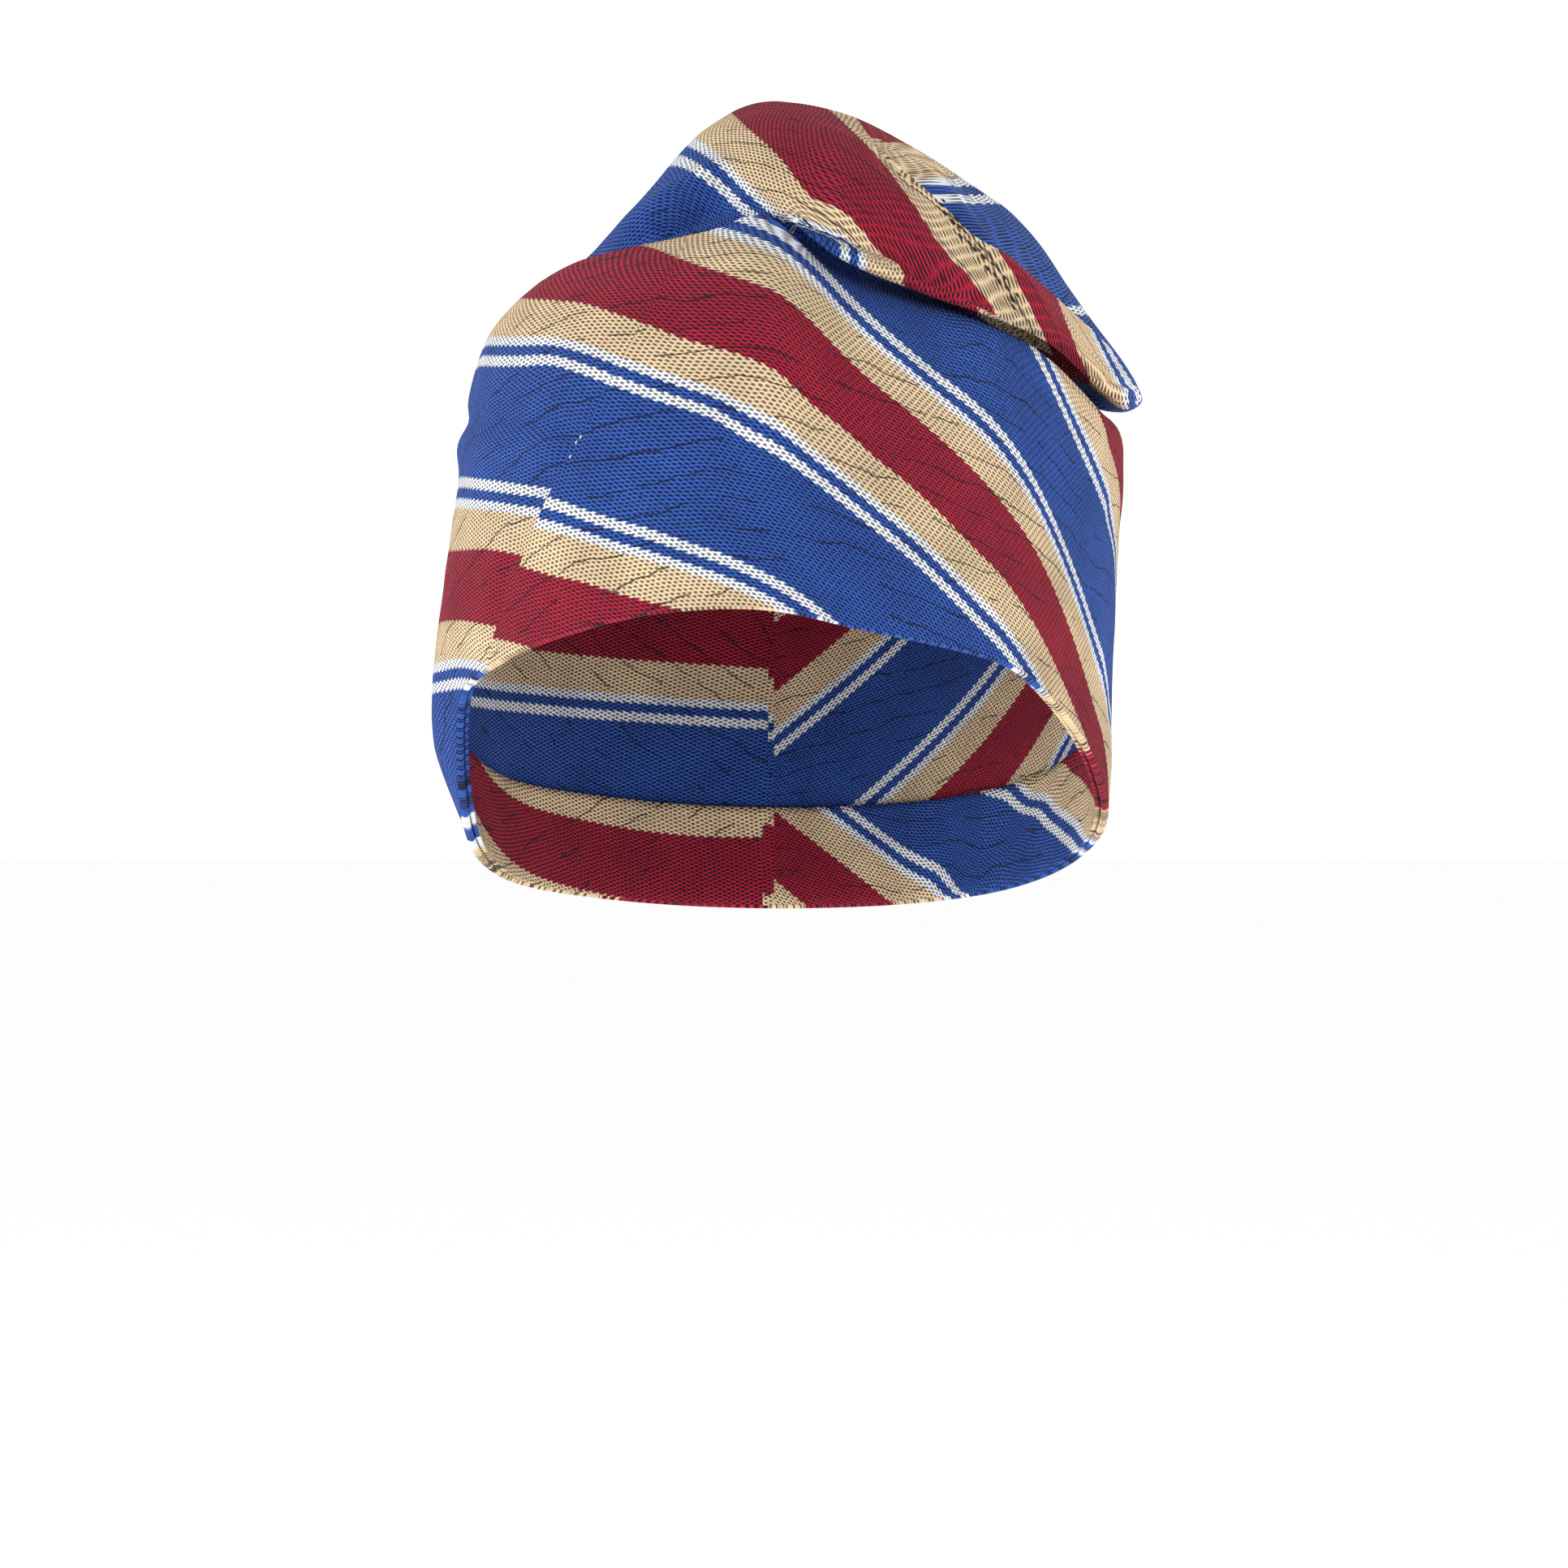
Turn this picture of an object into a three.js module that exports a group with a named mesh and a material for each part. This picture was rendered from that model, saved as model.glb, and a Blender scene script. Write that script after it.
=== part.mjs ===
// A tall soft turban cap of striped handwoven cloth, in the shape that it has on a head: a wall of cloth round the
// brow, a closed top folded over towards the wearer's left, and a hem turned in inside the rim.
// Millimetres, +Z up. The brow faces -Y and the wearer's left is +X. The origin is the centre of the head opening.
import * as THREE from "three";

// Size round the head, and height of the folded top over the head opening
const BAND_WIDTH = 165;
const BAND_DEPTH = 208;
const CAP_HEIGHT = 168;

// The hem runs higher at the brow than at the nape
const BROW_RISE = 41;
const NAPE_DROP = 32;

// Cloth
const WALL = 2;
const HEM_CLOTH = 1.1;
const HEM_TURN = 26; // how far the turned-in layer reaches up inside the rim
const PIECE_GAP = 0.3;
const CREASE_DEPTH = 4;
const CREASE_BREADTH = 10;

// Fineness of the faceted surface: degrees between columns, rows in the hem and up the side, and rows on the way to
// each section from there on
const FRONT_STEP = 3.6;
const BACK_STEP = 7.5;
const FRONT_HALF = 104; // degrees either side of the brow that count as the front
const HEM_ROWS = 2;
const SIDE_ROWS = 8;
const ROWS = { rim: 3, crease: 3, under: 2, edge: 3, lip: 3, flank: 4, dome: 4, top: 4 };
const [SHOULDER_STATION, CREASE_STATION, TOP_STATION] = [3, 5, 11];

// The cloth's course from hem to top at each azimuth, in degrees from the brow towards the wearer's left. A reach
// is a share of the band oval's radius there, and a height is a share of CAP_HEIGHT, but the hem's height is a
// share of BROW_RISE, or of NAPE_DROP where it is negative. The band and the side lie at BAND_LEVEL and SIDE_LEVEL
// of the way from hem to shoulder.
const BAND_LEVEL = 0.15;
const SIDE_LEVEL = 0.58;
const WALL_SECTIONS = table(
  ["azimuth", "hemReach", "hem", "band", "side", "shoulderReach", "shoulder", "rimReach", "rim", "creaseReach", "crease"],
  [
    [-150, 0.985, -0.9, 1.0, 0.97, 0.86, 0.643, 0.7, 0.756, 0.58, 0.81],
    [-120, 0.97, -0.66, 1.01, 0.955, 0.865, 0.637, 0.7, 0.744, 0.595, 0.783],
    [-90, 0.94, -0.06, 1.02, 0.945, 0.865, 0.637, 0.7, 0.732, 0.605, 0.753],
    [-72, 0.955, 0.47, 1.01, 0.958, 0.87, 0.637, 0.69, 0.735, 0.6, 0.741],
    [-52, 0.975, 0.67, 1.0, 0.97, 0.875, 0.643, 0.67, 0.747, 0.585, 0.729],
    [-33, 0.985, 0.84, 1.0, 0.97, 0.88, 0.655, 0.64, 0.762, 0.565, 0.741],
    [-14, 0.985, 0.98, 1.0, 0.968, 0.885, 0.667, 0.635, 0.778, 0.565, 0.762],
    [-1, 0.985, 0.99, 1.0, 0.968, 0.89, 0.667, 0.645, 0.802, 0.595, 0.793],
    [13, 0.985, 0.87, 1.0, 0.97, 0.905, 0.625, 0.735, 0.714, 0.62, 0.756],
    [24, 0.985, 0.79, 1.0, 0.972, 0.925, 0.583, 0.795, 0.664, 0.655, 0.708],
    [37, 0.985, 0.68, 1.0, 0.98, 0.95, 0.542, 0.845, 0.616, 0.7, 0.667],
    [52, 0.99, 0.42, 1.0, 0.99, 0.98, 0.5, 0.905, 0.571, 0.745, 0.622],
    [70, 0.995, 0.09, 1.005, 1.005, 1.02, 0.47, 0.98, 0.52, 0.78, 0.571],
    [89, 1.0, -0.24, 1.007, 1.018, 1.045, 0.46, 1.02, 0.512, 0.8, 0.557],
    [112, 0.995, -0.55, 1.003, 1.015, 1.02, 0.47, 0.975, 0.53, 0.78, 0.586],
    [145, 0.985, -0.88, 1.0, 0.98, 0.93, 0.56, 0.82, 0.637, 0.67, 0.696],
    [180, 0.985, -1.0, 1.0, 0.97, 0.875, 0.619, 0.73, 0.714, 0.6, 0.774],
  ],
);
const FOLD_SECTIONS = table(
  ["azimuth", "underReach", "under", "edgeReach", "edge", "lipReach", "lip", "flankReach", "flank", "domeReach", "dome"],
  [
    [-150, 0.565, 0.815, 0.545, 0.823, 0.51, 0.838, 0.4, 0.881, 0.21, 0.949],
    [-120, 0.58, 0.788, 0.56, 0.795, 0.52, 0.811, 0.385, 0.869, 0.2, 0.949],
    [-90, 0.585, 0.759, 0.56, 0.771, 0.505, 0.795, 0.385, 0.851, 0.195, 0.949],
    [-72, 0.58, 0.75, 0.56, 0.768, 0.51, 0.798, 0.39, 0.857, 0.205, 0.952],
    [-52, 0.57, 0.744, 0.56, 0.768, 0.525, 0.801, 0.41, 0.869, 0.24, 0.952],
    [-33, 0.555, 0.759, 0.555, 0.78, 0.53, 0.815, 0.44, 0.881, 0.275, 0.955],
    [-14, 0.555, 0.777, 0.56, 0.798, 0.54, 0.833, 0.47, 0.893, 0.31, 0.956],
    [-1, 0.6, 0.807, 0.605, 0.821, 0.6, 0.851, 0.53, 0.899, 0.36, 0.955],
    [13, 0.67, 0.759, 0.71, 0.738, 0.745, 0.768, 0.66, 0.869, 0.43, 0.945],
    [24, 0.72, 0.72, 0.775, 0.694, 0.825, 0.725, 0.75, 0.827, 0.5, 0.922],
    [37, 0.77, 0.685, 0.83, 0.661, 0.885, 0.692, 0.82, 0.786, 0.56, 0.9],
    [52, 0.82, 0.643, 0.885, 0.615, 0.95, 0.646, 0.89, 0.738, 0.62, 0.874],
    [70, 0.88, 0.588, 0.975, 0.55, 1.05, 0.578, 0.965, 0.679, 0.68, 0.845],
    [89, 0.92, 0.565, 1.035, 0.528, 1.1, 0.557, 0.93, 0.69, 0.66, 0.854],
    [112, 0.87, 0.595, 0.945, 0.562, 1.02, 0.592, 0.9, 0.714, 0.62, 0.869],
    [145, 0.7, 0.702, 0.725, 0.699, 0.745, 0.72, 0.64, 0.821, 0.42, 0.92],
    [180, 0.585, 0.78, 0.565, 0.788, 0.53, 0.804, 0.44, 0.848, 0.26, 0.929],
  ],
);

// Creases and soft rolls seen from the brow side, each along a line of points {x, z}. x is a share of BAND_WIDTH
// from the middle and z is a share of CAP_HEIGHT. A height over the cloth is a share of CREASE_DEPTH and is negative
// in a dent, and a width is that of the whole dent or roll as a share of CREASE_BREADTH. It fades in from nothing
// over its first points.
const CREASES = [
  { name: "closing seam", on: "fold", height: -0.65, width: 1, line: [[0.15, 0.93], [0.235, 0.83], [0.275, 0.77], [0.325, 0.7], [0.355, 0.64]] },
  { name: "roll beside the seam", on: "fold", height: 0.4, width: 1.2, line: [[0.19, 0.92], [0.28, 0.81], [0.325, 0.76], [0.385, 0.69], [0.43, 0.63]] },
  { name: "valley behind the roll", on: "fold", height: -1, width: 1.2, line: [[0.21, 0.96], [0.32, 0.83], [0.37, 0.79], [0.465, 0.69], [0.52, 0.63]] },
  { name: "wrinkle over the lip", on: "fold", height: -0.35, width: 1, line: [[0.09, 0.8], [0.13, 0.77], [0.2, 0.73], [0.26, 0.7], [0.3, 0.69]] },
  { name: "ridge on the left slope", on: "fold", height: 0.2, width: 1.2, line: [[-0.24, 0.79], [-0.18, 0.82], [-0.12, 0.86], [-0.08, 0.89]] },
  { name: "dart", on: "wall", height: -0.325, width: 1, line: [[-0.43, 0.16], [-0.4, 0.31], [-0.36, 0.42], [-0.31, 0.51]] },
  { name: "fold from the dart", on: "wall", height: -0.25, width: 1.4, line: [[-0.3, 0.51], [-0.21, 0.48], [-0.1, 0.42], [0, 0.36], [0.07, 0.32]] },
  { name: "fold under the tip", on: "wall", height: -0.25, width: 1.4, line: [[0.26, 0.52], [0.34, 0.47], [0.42, 0.42], [0.48, 0.38]] },
];

// Named rows from short rows of numbers.
function table(columns, rows) {
  return rows.map((row) => Object.fromEntries(columns.map((name, k) => [name, row[k]])));
}

// The plan radius of the band oval at an azimuth.
function bandRadius(azimuth) {
  const a = THREE.MathUtils.degToRad(azimuth);
  return 1 / Math.hypot(Math.sin(a) / (BAND_WIDTH / 2), Math.cos(a) / (BAND_DEPTH / 2));
}

// The cubic from one value to another, with the slope at each end, at a share u of the way.
function blend(from, slopeFrom, to, slopeTo, u) {
  const rise = u * u * (3 - 2 * u);
  return from + (to - from) * rise + slopeFrom * u * (1 - u) ** 2 - slopeTo * u * u * (1 - u);
}

// The smooth curve through four knots {t, v}, at a place t between the middle two.
function smooth(knots, t) {
  const [a, b, c, d] = knots;
  const span = c.t - b.t;
  const slope = (p, q, r) => {
    const before = (q.v - p.v) / (q.t - p.t);
    const after = (r.v - q.v) / (r.t - q.t);
    return (before * (r.t - q.t) + after * (q.t - p.t)) / (r.t - p.t);
  };
  return blend(b.v, slope(a, b, c) * span, c.v, slope(b, c, d) * span, (t - b.t) / span);
}

// One column of a table of sections at any azimuth, running smoothly round the head.
function columnAt(sections, column, azimuth) {
  const count = sections.length;
  const first = sections[0].azimuth;
  const at = first + ((((azimuth - first) % 360) + 360) % 360);
  let k = count - 1;
  while (sections[k].azimuth > at) k -= 1;
  const knots = [-1, 0, 1, 2].map((step) => {
    const lap = Math.floor((k + step) / count);
    const row = sections[k + step - lap * count];
    return { t: row.azimuth + lap * 360, v: row[column] };
  });
  return smooth(knots, at);
}

// The points {r, z} that the cloth passes from hem to top at an azimuth.
function coursePoints(azimuth) {
  const radius = bandRadius(azimuth);
  const wall = (column) => columnAt(WALL_SECTIONS, column, azimuth);
  const fold = (column) => columnAt(FOLD_SECTIONS, column, azimuth);
  const hem = wall("hem") * (wall("hem") > 0 ? BROW_RISE : NAPE_DROP);
  const shoulder = wall("shoulder") * CAP_HEIGHT;
  return [
    { r: wall("hemReach") * radius, z: hem },
    { r: wall("band") * radius, z: hem + BAND_LEVEL * (shoulder - hem) },
    { r: wall("side") * radius, z: hem + SIDE_LEVEL * (shoulder - hem) },
    { r: wall("shoulderReach") * radius, z: shoulder },
    { r: wall("rimReach") * radius, z: wall("rim") * CAP_HEIGHT },
    { r: wall("creaseReach") * radius, z: wall("crease") * CAP_HEIGHT },
    { r: fold("underReach") * radius, z: fold("under") * CAP_HEIGHT },
    { r: fold("edgeReach") * radius, z: fold("edge") * CAP_HEIGHT },
    { r: fold("lipReach") * radius, z: fold("lip") * CAP_HEIGHT },
    { r: fold("flankReach") * radius, z: fold("flank") * CAP_HEIGHT },
    { r: fold("domeReach") * radius, z: fold("dome") * CAP_HEIGHT },
    { r: 0, z: CAP_HEIGHT },
  ];
}

// A smooth course through those points, with its place along the way (in millimetres of chord) at each of them. It
// runs at each point as its two neighbours lie, and level at the top.
function courseAt(azimuth) {
  const points = coursePoints(azimuth);
  const last = points.length - 1;
  const headings = points.map((_, k) => {
    const [from, to] = [points[Math.max(k - 1, 0)], points[Math.min(k + 1, last)]];
    const length = Math.hypot(to.r - from.r, to.z - from.z);
    return k === last ? { r: -1, z: 0 } : { r: (to.r - from.r) / length, z: (to.z - from.z) / length };
  });
  const places = [0];
  for (let k = 1; k <= last; k += 1) {
    places.push(places[k - 1] + Math.hypot(points[k].r - points[k - 1].r, points[k].z - points[k - 1].z));
  }
  const at = (place) => {
    let k = 0;
    while (k < last - 1 && places[k + 1] < place) k += 1;
    const span = places[k + 1] - places[k];
    const u = (place - places[k]) / span;
    const value = (axis) => blend(points[k][axis], headings[k][axis] * span, points[k + 1][axis], headings[k + 1][axis] * span, u);
    return { r: value("r"), z: value("z") };
  };
  return { at, places };
}

// The distance from (x, z) to a crease's line and the share of the way along it.
function nearestOnLine(line, x, z) {
  let best = { distance: Infinity, share: 0 };
  for (let k = 0; k + 1 < line.length; k += 1) {
    const [ax, az] = [line[k][0] * BAND_WIDTH, line[k][1] * CAP_HEIGHT];
    const [bx, bz] = [line[k + 1][0] * BAND_WIDTH, line[k + 1][1] * CAP_HEIGHT];
    const length = (bx - ax) ** 2 + (bz - az) ** 2;
    const u = THREE.MathUtils.clamp(((x - ax) * (bx - ax) + (z - az) * (bz - az)) / length, 0, 1);
    const distance = Math.hypot(x - ax - u * (bx - ax), z - az - u * (bz - az));
    if (distance < best.distance) best = { distance, share: (k + u) / (line.length - 1) };
  }
  return best;
}

// How far the creases and rolls lift a piece's cloth at a point, given which way it faces there.
function creaseLift(pieceName, point, out) {
  const facing = 1 - THREE.MathUtils.smoothstep(point.y, -0.15 * BAND_DEPTH, -0.02 * BAND_DEPTH);
  const upper = THREE.MathUtils.smoothstep(out.z, -0.7, -0.2);
  if (facing * upper === 0) return 0;
  let lift = 0;
  for (const crease of CREASES.filter((row) => row.on === pieceName)) {
    const { distance, share } = nearestOnLine(crease.line, point.x, point.z);
    const across = distance / ((crease.width * CREASE_BREADTH) / 2);
    if (across > 2) continue;
    const fade = THREE.MathUtils.smoothstep(share, 0, 0.25);
    lift += crease.height * CREASE_DEPTH * Math.exp(-across * across * 1.5) * fade * facing * upper;
  }
  return lift;
}

// The azimuths of the surface's columns, finer round the front.
function columnAzimuths() {
  const front = Math.round((2 * FRONT_HALF) / FRONT_STEP);
  const back = Math.round((360 - 2 * FRONT_HALF) / BACK_STEP);
  const azimuths = [];
  for (let k = 0; k < front; k += 1) azimuths.push(-FRONT_HALF + (k * 2 * FRONT_HALF) / front);
  for (let k = 0; k < back; k += 1) azimuths.push(FRONT_HALF + (k * (360 - 2 * FRONT_HALF)) / back);
  return azimuths;
}

// The outer face's point at a place on the course of an azimuth.
function facePoint(azimuth, place) {
  const a = THREE.MathUtils.degToRad(azimuth);
  const { r, z } = courseAt(azimuth).at(place);
  return new THREE.Vector3(r * Math.sin(a), -r * Math.cos(a), z);
}

// The way that the outer face looks at that place.
function faceOut(azimuth, place) {
  const course = courseAt(azimuth);
  const end = course.places[course.places.length - 1];
  if (end - place < 0.01) return new THREE.Vector3(0, 0, 1);
  const [turn, step] = [0.8, 0.4];
  const beside = (a) => facePoint(a, matchingPlace(course, courseAt(a), place));
  const aside = beside(azimuth + turn).sub(beside(azimuth - turn));
  const along = facePoint(azimuth, Math.min(place + step, end)).sub(facePoint(azimuth, Math.max(place - step, 0)));
  return aside.cross(along).normalize();
}

// A grid of the cloth's outer face: a column of {point, out} at each azimuth, for the places that a function gives.
// The two pieces that meet at the crease share one direction there, so that their edges lie parallel.
function clothGrid(pieceName, placesOn) {
  return columnAzimuths().map((azimuth) => {
    const { places } = courseAt(azimuth);
    const crease = places[CREASE_STATION];
    return placesOn(places).map((place) => {
      const point = facePoint(azimuth, place);
      const out = faceOut(azimuth, Math.abs(place - crease) < PIECE_GAP ? crease : place);
      point.addScaledVector(out, creaseLift(pieceName, point, out));
      return { point, out };
    });
  });
}

// The place on one course that stands for a place on its neighbour.
function matchingPlace(from, to, place) {
  let k = 0;
  while (k < from.places.length - 2 && from.places[k + 1] < place) k += 1;
  const u = (place - from.places[k]) / (from.places[k + 1] - from.places[k]);
  return to.places[k] + u * (to.places[k + 1] - to.places[k]);
}

// Places that divide each stretch of a course into its number of rows.
function placesBetween(places, from, to) {
  const stretches = Object.values(ROWS);
  const result = [places[from]];
  for (let k = from; k < to; k += 1) {
    const rows = stretches[k - SHOULDER_STATION];
    for (let n = 1; n <= rows; n += 1) result.push(places[k] + ((places[k + 1] - places[k]) * n) / rows);
  }
  return result;
}

// A closed solid between two faces of a grid: the cloth from one depth under the outer face to another. The rows of
// the inner face are thinned out where keep says so. A grid that ends at the top closes to a point there. Faces that
// lie against each other, on one piece or on two, are split along the same slants.
function clothSolid(grid, outerDepth, innerDepth, closesAtTop, keep) {
  const vertices = [];
  const triangles = [];
  const columns = grid.length;
  const rows = grid[0].length;
  const face = (depth, chosen) =>
    chosen.map((row) => {
      const first = vertices.length / 3;
      const atPole = closesAtTop && row === rows - 1;
      const ring = atPole ? [grid[0][row]] : grid.map((column) => column[row]);
      for (const { point, out } of ring) vertices.push(...point.clone().addScaledVector(out, -depth).toArray());
      return Array.from({ length: columns }, (_, k) => first + (atPole ? 0 : k));
    });
  const every = Array.from({ length: rows }, (_, row) => row);
  const outer = face(outerDepth, every);
  const inner = face(innerDepth, every.filter(keep));
  const band = (low, high, leansBack) => {
    for (let k = 0; k < columns; k += 1) {
      const next = (k + 1) % columns;
      if (low[k] !== low[next]) triangles.push(low[k], low[next], leansBack ? high[k] : high[next]);
      if (high[k] !== high[next]) triangles.push(leansBack ? low[next] : low[k], high[next], high[k]);
    }
  };
  for (let row = 0; row + 1 < outer.length; row += 1) band(outer[row], outer[row + 1], false);
  for (let row = inner.length - 1; row > 0; row -= 1) band(inner[row], inner[row - 1], true);
  band(inner[0], outer[0], true);
  if (!closesAtTop) band(outer[outer.length - 1], inner[inner.length - 1], false);
  const geometry = new THREE.BufferGeometry();
  geometry.setAttribute("position", new THREE.Float32BufferAttribute(vertices, 3));
  geometry.setIndex(triangles);
  geometry.computeVertexNormals();
  return geometry;
}

// The wall's lowest rows are also those of the hem, so that their facets lie flat against each other.
const hemPlaces = Array.from({ length: HEM_ROWS + 1 }, (_, row) => (row * HEM_TURN) / HEM_ROWS);
const wallGrid = clothGrid("wall", (places) => {
  const rest = placesBetween(places, SHOULDER_STATION, CREASE_STATION);
  rest[rest.length - 1] -= PIECE_GAP / 2;
  const stretch = places[SHOULDER_STATION] - HEM_TURN;
  const side = Array.from({ length: SIDE_ROWS - 1 }, (_, row) => HEM_TURN + ((row + 1) * stretch) / SIDE_ROWS);
  return [...hemPlaces, ...side, ...rest];
});
const foldGrid = clothGrid("fold", (places) => {
  const rows = placesBetween(places, CREASE_STATION, TOP_STATION);
  rows[0] += PIECE_GAP / 2;
  return rows;
});
const hemGrid = clothGrid("wall", () => hemPlaces);

const isKeptInWall = (row) => row <= HEM_ROWS || row >= HEM_ROWS + SIDE_ROWS || (row - HEM_ROWS) % 2 === 0;
const isKeptInFold = (row) => row % 2 === 0 || row < ROWS.under + ROWS.edge + ROWS.lip;

const clothMaterial = (color) => new THREE.MeshStandardMaterial({ color, roughness: 0.85, metalness: 0 });

function piece(name, geometry, color) {
  const mesh = new THREE.Mesh(geometry, clothMaterial(color));
  mesh.name = name;
  return mesh;
}

const cap = new THREE.Group();
cap.name = "turban_hat";
cap.add(piece("crown_wall", clothSolid(wallGrid, 0, WALL, false, isKeptInWall), "#2b3f94"));
cap.add(piece("top_fold", clothSolid(foldGrid, 0, WALL, true, isKeptInFold), "#9c2430"));
cap.add(
  piece("hem_facing", clothSolid(hemGrid, WALL + PIECE_GAP, WALL + PIECE_GAP + HEM_CLOTH, false, () => true), "#a98f6a"),
);

export default cap;
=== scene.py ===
"""A turban hat of striped handwoven cloth: its looks, stage, lights and camera.

The hat is worn: its top is folded over towards the wearer's left (+X) and its brow faces -Y.
"""

import functools
import math

import bmesh
import bpy
import numpy as np
from bpy.props import FloatProperty, FloatVectorProperty, PointerProperty
from mathutils import Matrix, Vector, noise


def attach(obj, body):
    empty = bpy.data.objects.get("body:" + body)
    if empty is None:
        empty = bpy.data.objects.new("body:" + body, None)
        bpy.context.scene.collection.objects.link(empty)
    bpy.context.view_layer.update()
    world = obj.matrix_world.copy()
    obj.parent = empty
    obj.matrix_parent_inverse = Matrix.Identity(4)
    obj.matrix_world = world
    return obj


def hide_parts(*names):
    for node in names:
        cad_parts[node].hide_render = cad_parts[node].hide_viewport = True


bl_info = {
    "name": "Turban Hat Looks",
    "version": (1, 0, 0),
    "blender": (4, 5, 0),
    "location": "View3D > Sidebar > Turban Hat",
    "description": "Builds the cloth, stitches and stage of a striped turban hat",
    "category": "Object",
}

MM = 0.001

# Size round the head, and height of the folded top over the head opening, in millimetres
BAND_WIDTH = 165
BAND_DEPTH = 208
CAP_HEIGHT = 168
BROW_RISE = 41
NAPE_DROP = 32
BAND_LEVEL = 0.15
SIDE_LEVEL = 0.58

# The cloth's course at each azimuth, in degrees from the brow towards the wearer's left. A reach is a
# share of the band oval's radius and a height one of CAP_HEIGHT, but the hem's is a share of BROW_RISE,
# or of NAPE_DROP if negative.
WALL_COLUMNS = (
    "azimuth hem_reach hem band side shoulder_reach shoulder rim_reach rim crease_reach crease"
).split()
WALL_SECTIONS = [
    [-150, 0.985, -0.9, 1.0, 0.97, 0.86, 0.643, 0.7, 0.756, 0.58, 0.81],
    [-120, 0.97, -0.66, 1.01, 0.955, 0.865, 0.637, 0.7, 0.744, 0.595, 0.783],
    [-90, 0.94, -0.06, 1.02, 0.945, 0.865, 0.637, 0.7, 0.732, 0.605, 0.753],
    [-72, 0.955, 0.47, 1.01, 0.958, 0.87, 0.637, 0.69, 0.735, 0.6, 0.741],
    [-52, 0.975, 0.67, 1.0, 0.97, 0.875, 0.643, 0.67, 0.747, 0.585, 0.729],
    [-33, 0.985, 0.84, 1.0, 0.97, 0.88, 0.655, 0.64, 0.762, 0.565, 0.741],
    [-14, 0.985, 0.98, 1.0, 0.968, 0.885, 0.667, 0.635, 0.778, 0.565, 0.762],
    [-1, 0.985, 0.99, 1.0, 0.968, 0.89, 0.667, 0.645, 0.797, 0.595, 0.789],
    [13, 0.985, 0.87, 1.0, 0.97, 0.905, 0.613, 0.735, 0.702, 0.62, 0.745],
    [24, 0.985, 0.79, 1.0, 0.972, 0.925, 0.58, 0.8, 0.668, 0.655, 0.712],
    [37, 0.985, 0.68, 1.0, 0.98, 0.95, 0.552, 0.855, 0.646, 0.7, 0.69],
    [52, 0.99, 0.42, 1.0, 0.99, 0.98, 0.514, 0.915, 0.612, 0.745, 0.656],
    [70, 0.995, 0.09, 1.005, 1.005, 1.02, 0.475, 0.98, 0.547, 0.78, 0.598],
    [89, 1.0, -0.24, 1.007, 1.018, 1.045, 0.466, 1.02, 0.526, 0.8, 0.573],
    [112, 0.995, -0.55, 1.003, 1.015, 1.02, 0.474, 0.975, 0.538, 0.78, 0.594],
    [145, 0.985, -0.88, 1.0, 0.98, 0.93, 0.56, 0.82, 0.637, 0.67, 0.696],
    [180, 0.985, -1.0, 1.0, 0.97, 0.875, 0.619, 0.73, 0.714, 0.6, 0.774],
]
FOLD_COLUMNS = (
    "azimuth under_reach under edge_reach edge lip_reach lip flank_reach flank dome_reach dome"
).split()
FOLD_SECTIONS = [
    [-150, 0.565, 0.815, 0.545, 0.823, 0.51, 0.838, 0.4, 0.881, 0.21, 0.949],
    [-120, 0.58, 0.788, 0.56, 0.795, 0.52, 0.811, 0.385, 0.869, 0.2, 0.949],
    [-90, 0.585, 0.759, 0.56, 0.771, 0.505, 0.795, 0.385, 0.851, 0.195, 0.949],
    [-72, 0.58, 0.75, 0.56, 0.768, 0.51, 0.798, 0.39, 0.857, 0.205, 0.952],
    [-52, 0.57, 0.744, 0.56, 0.768, 0.525, 0.801, 0.41, 0.869, 0.24, 0.952],
    [-33, 0.555, 0.759, 0.555, 0.78, 0.53, 0.815, 0.44, 0.881, 0.275, 0.955],
    [-14, 0.555, 0.777, 0.56, 0.798, 0.54, 0.833, 0.47, 0.893, 0.31, 0.956],
    [-1, 0.6, 0.803, 0.605, 0.814, 0.6, 0.845, 0.53, 0.899, 0.36, 0.955],
    [13, 0.69, 0.752, 0.76, 0.726, 0.774, 0.742, 0.66, 0.869, 0.43, 0.945],
    [24, 0.74, 0.718, 0.83, 0.69, 0.85, 0.706, 0.75, 0.827, 0.5, 0.922],
    [37, 0.77, 0.7, 0.87, 0.66, 0.888, 0.674, 0.82, 0.786, 0.56, 0.9],
    [52, 0.82, 0.67, 0.93, 0.626, 0.953, 0.641, 0.89, 0.738, 0.62, 0.874],
    [70, 0.88, 0.616, 1.015, 0.562, 1.05, 0.578, 0.965, 0.679, 0.68, 0.845],
    [89, 0.92, 0.582, 1.04, 0.545, 1.1, 0.567, 0.93, 0.69, 0.66, 0.854],
    [112, 0.87, 0.603, 0.945, 0.572, 1.02, 0.6, 0.9, 0.714, 0.62, 0.869],
    [145, 0.7, 0.702, 0.725, 0.699, 0.745, 0.72, 0.64, 0.821, 0.42, 0.92],
    [180, 0.585, 0.78, 0.565, 0.788, 0.53, 0.804, 0.44, 0.848, 0.26, 0.929],
]

# Rows of the fine cloth on the way to each section, and degrees between its columns, which are closer
# together round the front
ROWS = {
    "band": 12, "side": 30, "shoulder": 30, "rim": 18, "crease": 14,
    "under": 6, "edge": 8, "lip": 9, "flank": 18, "dome": 22, "top": 20,
}
CREASE_STATION = 5
FRONT_HALF = 104
FRONT_STEP = 0.75
BACK_STEP = 1.6

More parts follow.
